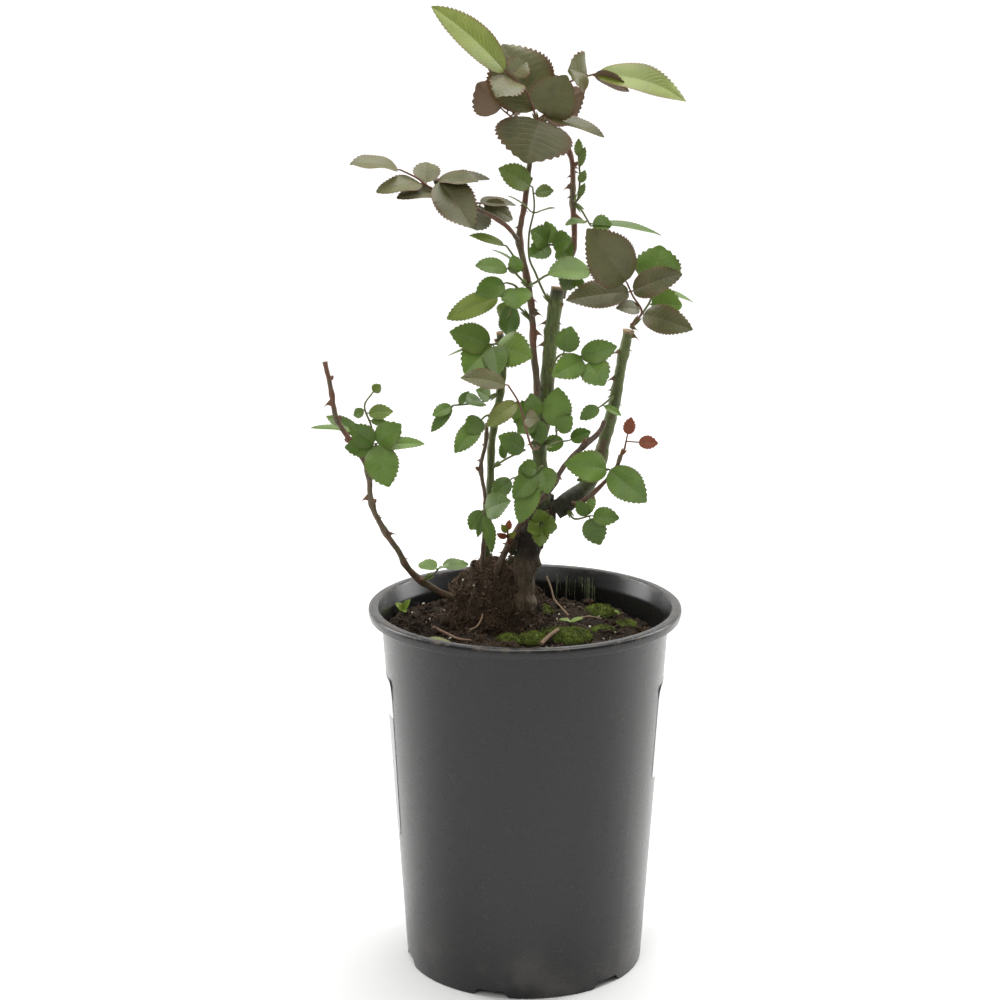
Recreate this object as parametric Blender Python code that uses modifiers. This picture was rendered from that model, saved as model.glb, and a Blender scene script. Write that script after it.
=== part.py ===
"""A rose bush in a black 5 litre nursery pot: pot, labels, soil, moss, canes, shoots and compound leaves.

Run it with blender --background --python part.py, or from the text editor.
Lengths are metres, +Z is up and the pot stands on Z = 0. The plant's own points are
written in millimetres from the pot's axis, and mm() turns them into metres.
"""

import math

import bmesh
import bpy
from mathutils import Matrix, Vector

MM = 0.001
GAP = 0.0003  # kept between pieces that touch

# The pot's axis stands this far along +X, so that the origin is under the middle of the whole plant.
POT_X = 0.014

POT_HEIGHT = 0.237
RIM_RADIUS = 0.100
RIM_INNER_RADIUS = 0.0938
RIM_BAND = 0.0064
NECK_RADIUS = 0.0915
FOOT_RADIUS = 0.0765
WALL = 0.0017
FOOT_RING = 0.0026
FLOOR_BOTTOM = 0.0052
FLOOR = 0.0018
POT_SIDES = 48

NOTCHES = 6
NOTCH_TURN = math.radians(43.3)
NOTCH_HEIGHT = 0.0045
NOTCH_TOP_WIDTH = 0.0165
NOTCH_BOTTOM_WIDTH = 0.0230
DRAIN_RADIUS = 0.0055
DRAIN_RING = 0.062

SOIL_TOP = 0.2175
SOIL_TILT = 0.045
SOIL_LUMP = 0.0012

LABEL_THICKNESS = 0.0003
LABEL_STEP = math.radians(360 / POT_SIDES)

PETIOLE_RADIUS = 0.0008
THORN_LENGTH = 0.0030
THORN_RADIUS = 0.0015
BLADE_THICKNESS = 0.0010
BLADE_ARCH = 0.07
BLADE_FOLD = 0.22
# Where each row of a blade's points is along it, and how wide it is there as a part of the full width.
BLADE_OUTLINE = ((0.0, 0.0), (0.10, 0.52), (0.34, 0.95), (0.62, 0.94), (0.86, 0.52), (1.0, 0.0))
SMALL_OUTLINE = ((0.0, 0.0), (0.14, 0.66), (0.48, 1.0), (0.82, 0.62), (1.0, 0.0))
SMALL_BLADE = 0.027

# Each stem: base and top diameter, then its route from the base up (millimetres).
STEMS = {
    "crown": (13.0, 13.5, ((-2, 9, 232), (0, 8, 255), (3, 8, 275), (7, 9, 286), (10, 10, 293),
                           (10, 10, 298))),
    "old_cane": (9.2, 8.6, ((10, 10, 298), (10, 10, 318), (9, 8, 340), (12, 5, 360), (14, 4, 385),
                            (16, 3, 410), (20, 5, 440))),
    "tall_cane": (4.4, 3.2, ((6, -2, 360), (7, -2, 380), (5, 2, 400), (4, 4, 425), (0, 5, 450),
                             (-4, 5, 470), (-1, 4, 490), (2, 2, 515), (7, 4, 535), (12, 5, 545))),
    "upper_cane": (4.4, 2.8, ((23, 12, 432), (25, 11, 448), (30, 10, 468), (29, 10, 490),
                              (29, 10, 508), (27, 10, 522), (18, 9, 536))),
    "right_cane": (9.6, 6.0, ((19, 10, 296), (28, 11, 302), (38, 13, 310), (46, 14, 322),
                              (50, 13, 340), (56, 11, 365), (60, 9, 390), (66, 6, 420))),
    "arch_cane": (4.4, 3.0, ((-22, 12, 245), (-15, 7, 264), (-6, -2, 285), (7, -10, 305),
                             (16, -13, 316), (24, -13, 330), (36, -9, 342), (46, -5, 350),
                             (50, -3, 358))),
    "left_cane": (4.2, 2.8, ((-36, 14, 233), (-50, 10, 240), (-64, 3, 250), (-74, -6, 262),
                             (-80, -14, 276), (-88, -19, 290), (-96, -20, 308), (-98, -20, 330),
                             (-108, -20, 347), (-117, -20, 362), (-120, -20, 380), (-124, -20, 400))),
    "thin_stem": (3.0, 2.2, ((-28, 13, 247), (-27, 11, 265), (-25, 8, 300), (-28, 5, 325),
                             (-25, 5, 340), (-24, 5, 356))),
    "pruned_stem": (5.0, 4.4, ((-25, 20, 247), (-24, 19, 280), (-22, 17, 310), (-21, 16, 340),
                               (-16, 14, 370), (-14, 12, 388), (-16, 8, 411))),
}

# A shoot grows from a stem at a height, then follows its own points.
SHOOTS = {
    "left_shoot": ("tall_cane", 468, 3.0, 2.2, ((-10, -4, 477), (-18, -8, 484), (-30, -10, 490),
                                                (-42, -10, 497), (-54, -8, 503))),
    "low_shoot": ("right_cane", 301, 3.4, 2.2, ((34, 0, 303), (42, -3, 310), (50, -4, 318),
                                                (57, -4, 327), (60, -4, 336))),
}

# Thorns: the stem, the height and the way each points.
THORNS = (
    ("old_cane", 341, (-1, -0.3, -0.1)),
    ("old_cane", 405, (-1, -0.2, -0.2)),
    ("old_cane", 418, (-1, 0.3, -0.2)),
    ("old_cane", 411, (1, -0.2, -0.1)),
    ("old_cane", 388, (1, 0.4, -0.1)),
    ("tall_cane", 412, (1, -0.3, -0.2)),
    ("tall_cane", 424, (1, 0.3, -0.2)),
    ("tall_cane", 505, (-1, -0.3, 0.0)),
    ("upper_cane", 483, (1, -0.3, -0.1)),
    ("upper_cane", 502, (-1, -0.3, -0.1)),
    ("upper_cane", 524, (-1, -0.3, 0.2)),
    ("right_cane", 382, (-1, -0.4, -0.1)),
    ("right_cane", 399, (-1, -0.2, -0.2)),
    ("right_cane", 410, (1, -0.4, 0.1)),
    ("left_cane", 312, (-1, -0.3, 0.1)),
    ("left_cane", 372, (-1, -0.3, 0.2)),
    ("left_cane", 288, (1, -0.4, 0.2)),
)

BRONZE = ("bronze_leaf", (0.075, 0.062, 0.040))
GREEN = ("green_leaf", (0.055, 0.105, 0.028))
YOUNG = ("young_leaf", (0.150, 0.220, 0.040))
RED = ("red_leaf", (0.300, 0.075, 0.030))

# Each compound leaf: name, colour, stem and the height it grows from, its stalk's points, then its
# leaflets. A leaflet is where it joins along the stalk (0 to 1), its tip, its width, the way its
# upper face looks and, on a few, how much of its length is bare stalk.
LEAVES = (
    ("leaf_top_left", BRONZE, "tall_cane", 538, ((0, 2, 560), (-12, -2, 572)), (
        (1, (-56, -14, 612), 22, (0, -1, 1)),
        (0.8, (-18, -20, 558), 20, (0, -1, 1)),
        (0.9, (0, 2, 578), 16, (0, -1, 1)),
        (0.2, (-14, 14, 588), 38, (0.2, -1, 0.3)),
    )),
    ("leaf_top_red", BRONZE, "tall_cane", 528, ((-2, 12, 538), (-14, 12, 548)), (
        (1, (-30, 18, 564), 24, (0, 1, 0)),
        (0.9, (-6, 16, 562), 16, (0, 1, 1)),
        (0.8, (5, 16, 556), 12, (0, 1, 1)),
    )),
    ("leaf_top_front", BRONZE, "tall_cane", 541, ((11, -2, 546), (8, -8, 545)), (
        (1, (0, -22, 519), 42, (0, -1, 0.3)),
        (0.3, (24, -12, 571), 27, (0, -1, 0.2)),
        (0.4, (47, -14, 534), 15, (0, -0.3, 1)),
        (0.2, (36, 20, 560), 22, (0, 1, 0)),
    )),
    ("leaf_top_right", BRONZE, "tall_cane", 542, ((18, 8, 558), (27, 4, 566), (42, -2, 571)), (
        (1, (97, -12, 562), 21, (0, -1, 1.2)),
        (0.9, (25, -18, 575), 22, (0, -1, 0.3)),
        (0.95, (62, -12, 561), 14, (0, 1, 1)),
    )),
    ("leaf_long_young", YOUNG, "old_cane", 426,
     ((11, -2, 438), (6, -5, 450), (2, -6, 460), (2, -6, 475), (5, -6, 490), (4, -6, 503)), (
        (1, (-17, -12, 515), 15, (0, -1, 0.6)),
        (0.95, (17, -8, 501), 9, (0, -1, 1)),
        (0.8, (-11, -8, 498), 6, (0, 0, 1)),
        (0.8, (18, -10, 491), 6, (0, 0, 1)),
    )),
    ("leaf_bud_shoot", YOUNG, "upper_cane", 492, ((32, 4, 495), (33, 2, 508), (32, 2, 520)), (
        (1, (32, 0, 532), 5, (0, -1, 0)),
        (0.8, (36, 0, 527), 4, (0, -1, 0)),
        (0.5, (36, -2, 513), 5, (0, -1, 0)),
        (0.2, (36, 0, 505), 4, (0, -1, 0)),
    )),
    ("leaf_left_far", BRONZE, "left_shoot", 499, ((-58, -18, 504), (-66, -19, 510), (-76, -20, 515)), (
        (1, (-106, -28, 519), 17, (0, -0.35, 1)),
        (0.5, (-60, -4, 518), 15, (0, -0.4, 1)),
        (0.55, (-90, -34, 503), 15, (0, -1, 1.5)),
        (0.15, (-78, -30, 499), 14, (0, -0.6, 1)),
    )),
    ("leaf_left_mid", BRONZE, "left_shoot", 503, ((-55, -10, 508), (-53, -18, 509)), (
        (1, (-32, -42, 482), 22, (0, -1, 0.5)),
        (0.3, (-22, -8, 508), 14, (0, -0.4, 1)),
        (0.9, (-29, -32, 509), 14, (0, -0.6, 1)),
    )),
    ("leaf_left_inner", BRONZE, "left_shoot", 494, ((-32, -2, 493), (-27, 4, 492)), (
        (1, (-8, 12, 481), 13, (0, -1, 0.6)),
        (0.8, (-6, 20, 489), 11, (0, -0.6, 1)),
        (0.9, (-31, 14, 474), 16, (0, -1, 0.5)),
    )),
    ("leaf_right_upper", GREEN, "upper_cane", 493, ((34, 6, 488), (40, 4, 478)), (
        (1, (53, 2, 479), 12, (0, -1, 0.6)),
        (0.9, (84, 6, 472), 9, (0, -0.3, 1)),
        (0.8, (24, -8, 480), 8, (0, -0.5, 1)),
    )),
    ("leaf_mid_green", GREEN, "upper_cane", 462, ((20, 0, 466), (14, -6, 468)), (
        (1, (3, -14, 478), 14, (0, -1, 0.6)),
        (0.9, (28, -12, 472), 13, (0, -1, 0.5)),
        (0.9, (2, -16, 462), 12, (0, -1, 0.5)),
        (0.6, (28, -4, 459), 13, (0, -1, 0.4)),
        (0.8, (12, -4, 482), 9, (0, -1, 0.4)),
    )),
    ("leaf_mid_dark", GREEN, "tall_cane", 441,
     ((6, -9, 445), (14, -10, 450), (30, -11, 453), (46, -12, 453)), (
        (0.9, (13, -22, 452), 18, (0, -1, 1.2)),
        (0.7, (23, -16, 441), 11, (0, 1, 0)),
        (0.6, (36, -10, 442), 7, (0, -1, 0.3)),
        (0.95, (50, -8, 446), 7, (0, -1, 0.5)),
    )),
    ("leaf_right_bronze", BRONZE, "right_cane", 414, ((72, 0, 425), (66, -6, 436), (62, -12, 445)), (
        (1, (36, -34, 481), 28, (0, -1, 0.3)),
        (0.8, (24, -30, 437), 17, (0, -1, 0.6)),
        (0.8, (95, -20, 452), 17, (0, -1, 0.6)),
        (0.4, (55, -16, 430), 9, (0, -1, 0.5)),
        (0.3, (102, -24, 418), 16, (0, -1, 0.3)),
    )),
    ("leaf_right_green", GREEN, "right_cane", 412, ((77, 14, 428), (81, 18, 439)), (
        (1, (84, 20, 464), 26, (0, -1, 0.3)),
        (0.6, (98, 14, 427), 18, (0, -1, 0.3)),
        (0.9, (106, 26, 427), 8, (0, -1, 3)),
    )),
    ("leaf_left_thin", GREEN, "tall_cane", 447, ((-8, 4, 460), (-12, 2, 466)), (
        (1, (-35, -2, 473), 8, (0, -0.6, 1)),
        (0.2, (-21, 8, 463), 5, (0, 0, 1)),
    )),
    ("leaf_left_upper", GREEN, "tall_cane", 440, ((-6, -8, 450), (-10, -14, 454)), (
        (1, (-31, -22, 457), 12, (0, -0.9, 1)),
        (0.6, (-8, -16, 463), 9, (0, -1, 0.5)),
    )),
    ("leaf_left_second", GREEN, "tall_cane", 430, ((-6, -6, 442), (-12, -10, 445)), (
        (1, (-31, -20, 439), 13, (0, -1, 0.5)),
        (0.7, (-6, -20, 430), 18, (0, -1, 0.4)),
    )),
    ("leaf_left_light", GREEN, "tall_cane", 418, ((-4, 6, 427), (-16, 8, 434)), (
        (1, (-49, 4, 420), 14, (0, -1, 0.6)),
        (0.7, (-16, 16, 419), 9, (0, -1, 0.4)),
        (0.6, (-12, 20, 407), 12, (0, -1, 0.3)),
    )),
    ("leaf_left_bright", GREEN, "pruned_stem", 403, ((-17, -2, 406), (-21, -8, 406)), (
        (1, (-47, -20, 416), 17, (0, -1, 0.4)),
        (0.95, (-38, -24, 391), 22, (0, -1, 0.3)),
        (0.9, (-17, -26, 390), 14, (0, -1, 0.4)),
        (0.8, (4, -22, 400), 20, (0, -1, 0.3)),
        (0.5, (-48, -12, 400), 6, (0, 0, 1)),
    )),
    ("leaf_bronze_mid", BRONZE, "old_cane", 338,
     ((4, -24, 344), (0, -32, 358), (-4, -35, 374), (-11, -36, 386)), (
        (1, (-40, -44, 392), 13, (0, -1, 1)),
        (0.85, (-24, -46, 362), 11, (-0.4, -1, 0.2)),
        (0.7, (8, -44, 366), 10, (0, -1, 0.3)),
    )),
    ("leaf_left_low", GREEN, "pruned_stem", 372, ((-26, 4, 368), (-36, 0, 367), (-45, -4, 367)), (
        (1, (-59, -4, 350), 7, (0, -1, 0.5)),
        (0.9, (-35, -4, 376), 5, (0, -1, 0.5)),
        (1, (-58, -8, 361), 8, (0, -1, 0.8)),
        (0.4, (-37, -16, 370), 12, (0, -1, 0.8)),
        (0.2, (-31, -6, 377), 9, (0, -1, 0.4)),
    )),
    ("leaf_left_droop", GREEN, "pruned_stem", 356, ((-24, -6, 361), (-28, -12, 359)), (
        (1, (-44, -24, 341), 12, (0, -1, 0.4)),
        (0.9, (-37, -20, 353), 12, (0, -1, 0.4)),
        (0.6, (-12, -10, 361), 15, (0, -1, 0.4)),
    )),
    ("leaf_mid_low", GREEN, "pruned_stem", 322, ((-11, 6, 331), (0, -2, 338)), (
        (1, (-17, -16, 350), 13, (0, -1, 0.4)),
        (0.4, (-15, 6, 341), 5, (0, -1, 0)),
    )),
    ("leaf_centre_left", GREEN, "old_cane", 352, ((6, -6, 359), (6, -11, 360)), (
        (1, (-10, -14, 367), 15, (0, -1, 0.3)),
        (0.9, (3, -20, 378), 11, (0, -1, 0.3)),
        (0.8, (-5, -22, 353), 11, (0, -1, 0.3)),
        (0.7, (10, -17, 345), 11, (0, -1, 0.3)),
    )),
    ("leaf_centre_right", GREEN, "old_cane", 338, ((19, -2, 346), (19, -5, 352)), (
        (1, (20, -6, 379), 17, (0, -1, 0.1)),
        (0.9, (29, -8, 361), 11, (0, -1, 0.3)),
    )),
    ("leaf_right_middle", GREEN, "old_cane", 382, ((20, -10, 399), (28, -14, 401), (38, -17, 398)), (
        (0.6, (28, -16, 419), 14, (0, -1, 0.2)),
        (0.85, (56, -20, 407), 13, (0, -1, 0.3)),
        (1, (48, -28, 384), 17, (0, -1, 0.3)),
        (0.95, (16, -34, 391), 15, (0, -1, 0.3)),
    )),
    ("leaf_right_side", GREEN, "right_cane", 373, ((52, 2, 369), (47, -2, 366)), (
        (1, (34, -4, 358), 9, (0, -1, 1)),
        (0.9, (60, -2, 360), 5, (0, -1, 1)),
    )),
    ("leaf_back_low", GREEN, "old_cane", 336, ((20, 20, 338), (28, 26, 338)), (
        (1, (42, 26, 344), 9, (0, -1, 0.5)),
        (0.9, (10, 26, 334), 10, (0, -1, 0.5)),
    )),
    ("leaf_low_right", GREEN, "low_shoot", 324, ((52, -7, 327),), (
        (1, (75, -26, 310), 19, (0, -1, 0.3)),
        (0.9, (24, -22, 334), 18, (0, -1, 0.3)),
        (0.8, (32, -10, 320), 8, (0, -1, 0.5)),
    )),
    ("leaf_young_red", RED, "low_shoot", 334, ((62, -4, 339), (63, -4, 344)), (
        (1, (66, -6, 360), 7, (0, -1, 0), 0.3),
        (1, (83, -6, 343), 8, (0, -1, 0.5), 0.4),
    )),
    ("leaf_low_hanging", GREEN, "right_cane", 300, ((31, 0, 293), (41, -8, 297)), (
        (1, (59, -14, 297), 11, (0, -1, 0.4)),
        (0.95, (47, -16, 280), 14, (0, -1, 0.2)),
        (0.9, (32, -6, 306), 8, (0, -1, 0.5)),
        (0.8, (44, 4, 307), 6, (0, -1, 0.5)),
    )),
    ("leaf_rosette", GREEN, "crown", 284, ((10, -6, 287), (10, -12, 293)), (
        (1, (8, -18, 304), 10, (0, -1, 0.3)),
        (0.95, (20, -18, 292), 12, (0, -1, 0.3)),
        (0.9, (1, -18, 290), 10, (0, -1, 0.3)),
        (0.95, (9, -20, 280), 10, (0, -1, 0.3)),
    )),
    ("leaf_low_left", GREEN, "thin_stem", 300, ((-26, -6, 301), (-26, -8, 299)), (
        (1, (-21, -16, 275), 8, (0.5, -1, 0)),
        (0.9, (-9, -26, 311), 15, (0, -1, 0.4)),
        (0.8, (-35, -4, 287), 10, (0, -1, 0.3)),
        (0.95, (-30, -12, 284), 5, (0, -1, 0)),
    )),
    ("leaf_low_left_upper", GREEN, "old_cane", 312, ((0, 0, 320), (-8, -2, 320)), (
        (1, (-21, -2, 308), 11, (-0.2, -1, 0.3)),
        (0.6, (-4, -6, 328), 6, (0, -1, 0.3)),
    )),
    ("leaf_trunk", GREEN, "old_cane", 324, ((10, -16, 331), (6, -22, 328)), (
        (0.9, (-4, -24, 332), 10, (0, -1, 0.5)),
        (1, (-4, -28, 297), 14, (0, -1, 0.3)),
        (0.7, (14, -28, 316), 14, (0, -1, 0.3)),
        (0.95, (-8, -32, 314), 13, (0, -1, 0.3)),
    )),
    ("leaf_young_shoot", RED, "arch_cane", 277, ((-11, -14, 284), (-11, -19, 290)), (
        (1, (-10, -22, 298), 4, (0, -1, 0)),
        (0.9, (-15, -22, 295), 4, (0, -1, 0)),
        (0.7, (-18, -22, 289), 4, (0, -1, 0)),
        (0.7, (-6, -22, 290), 4, (0, -1, 0)),
    )),
    ("leaf_rim_leaf", GREEN, "left_cane", 252, ((-58, 0, 257), (-54, 6, 260)), (
        (1, (-36, 12, 260), 10, (0, -0.6, 1)),
        (0.8, (-68, 14, 260), 10, (0, -0.6, 1)),
        (0.9, (-50, -8, 263), 9, (0, -0.6, 1)),
    )),
    ("leaf_sprig_up", GREEN, "left_cane", 331,
     ((-95, -14, 345), (-96, -13, 356), (-100, -12, 368), (-95, -9, 376)), (
        (1, (-90, -8, 381), 6, (0, -1, 0.3)),
        (0.7, (-82, -14, 365), 9, (0, -1, 0.5)),
        (0.75, (-107, -8, 361), 6, (0, -1, 0.3)),
        (0.6, (-85, -10, 356), 5, (0, -1, 0.5)),
    )),
    ("leaf_sprig_left", GREEN, "left_cane", 325, ((-95, -8, 340), (-103, -5, 350)), (
        (1, (-134, -6, 353), 7, (0, -1, 4)),
        (0.9, (-125, 2, 359), 9, (0, -1, 0.8)),
    )),
    ("leaf_sprig_right", GREEN, "left_cane", 327, ((-94, -28, 342), (-92, -33, 349)), (
        (1, (-84, -44, 324), 19, (0, -1, 0.3)),
        (0.95, (-76, -38, 362), 15, (0, -1, 0.4)),
        (0.9, (-62, -34, 349), 9, (0, -1, 1)),
        (0.95, (-108, -42, 362), 13, (0, -1, 0.3)),
        (0.9, (-111, -40, 348), 12, (0, -1, 0.3)),
    )),
)


def mm(point):
    return Vector(point) * MM


def collection(name):
    made = bpy.data.collections.new(name)
    bpy.context.scene.collection.children.link(made)
    return made


def material(name, colour, roughness):
    """The material of this name, made the first time it is asked for."""
    if name in bpy.data.materials:
        return bpy.data.materials[name]
    made = bpy.data.materials.new(name)
    made.use_nodes = True
    shader = made.node_tree.nodes["Principled BSDF"]
    shader.inputs["Base Color"].default_value = (*colour, 1)
    shader.inputs["Roughness"].default_value = roughness
    shader.inputs["Metallic"].default_value = 0.0
    return made


def place(name, mesh, look=None):
    """A piece of the plant, or with no look a cutter or guide that is never shown."""
    ob = bpy.data.objects.new(name, mesh)
    (parts if look else cutters).objects.link(ob)
    ob.parent = stand
    mesh.materials.clear()
    if look:
        mesh.materials.append(material(*look))
    else:
        ob.hide_render = True
        ob.display_type = "WIRE"
    return ob


def boolean(ob, other, operation, crossing=False):
    cut = ob.modifiers.new(operation.title() + " " + other.name, "BOOLEAN")
    cut.operation = operation
    cut.solver = "EXACT"
    cut.object = other
    cut.use_self = crossing


def mesh_from(bm, name):
    mesh = bpy.data.meshes.new(name)
    bm.to_mesh(mesh)
    bm.free()
    return mesh


def smooth(points, steps):
    """Points along a smooth curve that passes through the given ones, with this many steps a span."""
    route = [points[0] * 2 - points[1], *points, points[-1] * 2 - points[-2]]
    made = []
    for i in range(1, len(route) - 2):
        a, b, c, d = route[i - 1 : i + 3]
        for k in range(steps):
            t = k / steps
            made.append(0.5 * (2 * b + (c - a) * t + (2 * a - 5 * b + 4 * c - d) * t**2
                               + (3 * b - a - 3 * c + d) * t**3))
    return [*made, points[-1]]


def tube_mesh(name, points, radii, sides):
    """A closed tube through the points, with its own radius at each."""
    curve = bpy.data.curves.new(name, "CURVE")
    curve.dimensions = "3D"
    curve.bevel_depth = 1.0
    curve.bevel_resolution = (sides - 4) // 2
    curve.use_fill_caps = True
    spline = curve.splines.new("POLY")
    spline.points.add(len(points) - 1)
    for spot, point, radius in zip(spline.points, points, radii):
        spot.co = (*point, 1)
        spot.radius = radius
    guide = bpy.data.objects.new(name, curve)
    cutters.objects.link(guide)
    evaluated = guide.evaluated_get(bpy.context.evaluated_depsgraph_get())
    mesh = bpy.data.meshes.new_from_object(evaluated)
    bpy.data.objects.remove(guide)
    bpy.data.curves.remove(curve)
    bm = bmesh.new()
    bm.from_mesh(mesh)
    bmesh.ops.remove_doubles(bm, verts=bm.verts, dist=0.00001)
    bm.to_mesh(mesh)
    bm.free()
    return mesh


def tapered(start, end, count):
    """Radii that run evenly from one diameter to another, given in millimetres."""
    return [(start + (end - start) * i / (count - 1)) * MM / 2 for i in range(count)]


def on_stem(stem, height):
    """The stem's centre, its direction and its radius where it passes this height."""
    points, radii = routes[stem]
    level = height * MM
    for i in range(len(points) - 1):
        low, high = points[i], points[i + 1]
        if low.z <= level <= high.z:
            part = (level - low.z) / (high.z - low.z)
            radius = radii[i] + (radii[i + 1] - radii[i]) * part
            return low.lerp(high, part), (high - low).normalized(), radius
    return points[-1], (points[-1] - points[-2]).normalized(), radii[-1]


def stalk_start(stem, height, toward, radius):
    """Where a stalk that leaves a stem toward a point begins, just clear of the bark."""
    centre, along, bark = on_stem(stem, height)
    if height * MM >= routes[stem][0][-1].z - GAP:
        return centre + along * (GAP + radius)
    way = (toward - centre).normalized()
    lean = abs(way.dot(along))
    across = math.sqrt(1 - lean**2)
    return centre + way * (bark + 2 * GAP + radius * lean) / across


def turned(name, profile, look):
    """A ring-shaped solid from a profile of (radius, height) that runs down the outside and closes."""
    bm = bmesh.new()
    spots = [bm.verts.new((r, 0, z)) for r, z in profile]
    for a, b in zip(spots, spots[1:]):
        bm.edges.new((a, b))
    if profile[0][0] > 0:
        bm.edges.new((spots[-1], spots[0]))
    ob = place(name, mesh_from(bm, name), look)
    screw = ob.modifiers.new("Turn", "SCREW")
    screw.steps = POT_SIDES
    screw.render_steps = POT_SIDES
    screw.use_merge_vertices = True
    screw.merge_threshold = 0.00001
    return ob


def applied(ob):
    """The same piece with its modifiers made into mesh."""
    evaluated = ob.evaluated_get(bpy.context.evaluated_depsgraph_get())
    mesh = bpy.data.meshes.new_from_object(evaluated)
    ob.modifiers.clear()
    ob.data = mesh
    return ob


def wall_radius(height):
    """The outer radius of the tapered wall at a height."""
    return FOOT_RADIUS + (NECK_RADIUS - FOOT_RADIUS) * height / (POT_HEIGHT - RIM_BAND)


def inner_radius(height):
    return wall_radius(height) - WALL


def make_pot():
    """The turned pot, its foot cut by six notches and its floor by six drain holes and a centre one."""
    band = POT_HEIGHT - RIM_BAND
    floor_top = FLOOR_BOTTOM + FLOOR
    profile = (
        (RIM_INNER_RADIUS + 0.0008, POT_HEIGHT),
        (RIM_RADIUS - 0.0016, POT_HEIGHT),
        (RIM_RADIUS - 0.0004, POT_HEIGHT - 0.0010),
        (RIM_RADIUS, POT_HEIGHT - 0.0030),
        (RIM_RADIUS - 0.0006, band),
        (NECK_RADIUS, band - 0.0002),
        (wall_radius(0.0015), 0.0015),
        (FOOT_RADIUS - 0.0006, 0.0),
        (FOOT_RADIUS - FOOT_RING, 0.0),
        (FOOT_RADIUS - FOOT_RING - 0.0008, FLOOR_BOTTOM),
        (0.0, FLOOR_BOTTOM),
        (0.0, floor_top),
        (inner_radius(floor_top) - 0.0015, floor_top),
        (inner_radius(floor_top + 0.003), floor_top + 0.003),
        (inner_radius(band - 0.004), band - 0.004),
        (RIM_INNER_RADIUS, POT_HEIGHT - 0.0012),
    )
    pot = turned("pot", profile, ("black_plastic", (0.018, 0.018, 0.019), 0.38))
    for i in range(NOTCHES):
        turn = NOTCH_TURN + i * math.tau / NOTCHES
        boolean(pot, notch_cutter(f"notch_{i + 1}", turn), "DIFFERENCE")
        boolean(pot, drain_cutter(f"drain_{i + 1}", DRAIN_RING, turn), "DIFFERENCE")
    boolean(pot, drain_cutter("drain_centre", 0.0, 0.0), "DIFFERENCE")
    return pot


def notch_cutter(name, turn):
    """A wedge that is wider at the ground, laid through the foot ring."""
    bm = bmesh.new()
    bmesh.ops.create_cube(bm, size=1.0)
    for v in bm.verts:
        width = NOTCH_TOP_WIDTH if v.co.z > 0 else NOTCH_BOTTOM_WIDTH + 0.004
        v.co.x = math.copysign(width / 2, v.co.x)
        v.co.y = math.copysign(0.006, v.co.y)
        v.co.z = NOTCH_HEIGHT if v.co.z > 0 else -0.002
    cutter = place(name, mesh_from(bm, name))
    out = FOOT_RADIUS - FOOT_RING / 2
    cutter.location = (out * math.sin(turn), -out * math.cos(turn), 0)
    cutter.rotation_euler.z = turn
    return cutter


def drain_cutter(name, out, turn):
    bm = bmesh.new()
    bmesh.ops.create_cone(bm, cap_ends=True, segments=10, radius1=DRAIN_RADIUS, radius2=DRAIN_RADIUS,
                          depth=0.01)
    cutter = place(name, mesh_from(bm, name))
    cutter.location = (out * math.sin(turn), -out * math.cos(turn), FLOOR_BOTTOM + FLOOR / 2)
    return cutter


def soil_height(x, y):
    """The top of the soil: tilted up to the left and slightly lumpy."""
    lumps = math.sin(x * 95 + 1.0) * math.cos(y * 80 - 0.6) + 0.6 * math.sin(x * 170 - y * 140)
    return SOIL_TOP - SOIL_TILT * x + SOIL_LUMP * lumps


def make_soil():
    """The potting soil, which fills the pot up to a little below the rim."""
    low = FLOOR_BOTTOM + FLOOR + GAP
    rings = (0.074, 0.054, 0.036, 0.018)
    profile = [(0.0, SOIL_TOP)]
    profile += [(r, SOIL_TOP) for r in reversed(rings)]
    profile += [
        (inner_radius(SOIL_TOP) - 2 * GAP, SOIL_TOP),
        (inner_radius(low + 0.005) - 2 * GAP, low + 0.005),
        (inner_radius(low) - 0.0024, low),
        (0.0, low),
    ]
    soil = applied(turned("potting_soil", profile, ("soil", (0.030, 0.020, 0.012), 0.95)))
    for v in soil.data.vertices:
        if v.co.z > SOIL_TOP - MM:
            v.co.z = soil_height(v.co.x, v.co.y)
    return soil


def lump(name, centre, size, rows, look, roughness=0.06):
    """A rounded lump with uneven sides, and its slightly larger copy that cuts its own bed."""
    pair = []
    for grown, title in ((0.0, name), (3 * GAP, name + "_bed")):
        bm = bmesh.new()
        bmesh.ops.create_uvsphere(bm, u_segments=rows * 2, v_segments=rows, radius=1.0)
        for v in bm.verts:
            uneven = 1 + roughness * math.sin(5 * v.co.x + 3 * v.co.z) * math.cos(6 * v.co.y - 4 * v.co.x)
            v.co = Vector([c * uneven * (s * MM + grown) for c, s in zip(v.co, size)])
        ob = place(title, mesh_from(bm, title), None if grown else look)
        ob.location = mm(centre)
        pair.append(ob)
    return pair


def make_label(name, first, last, low, high):
    """A blank label bent round the wall, from one facet's edge to another."""
    bm = bmesh.new()
    columns = last - first
    bmesh.ops.create_grid(bm, x_segments=columns, y_segments=3, size=1.0)
    for v in bm.verts:
        turn = (first + (v.co.x + 1) / 2 * columns) * LABEL_STEP
        height = low + (v.co.y + 1) / 2 * (high - low)
        out = wall_radius(height) + GAP + LABEL_THICKNESS
        v.co = (out * math.sin(turn), -out * math.cos(turn), height)
    label = place(name, mesh_from(bm, name), ("label_paper", (0.80, 0.80, 0.79), 0.45))
    shell = label.modifiers.new("Thickness", "SOLIDIFY")
    shell.thickness = LABEL_THICKNESS
    shell.offset = -1
    return label


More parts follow.
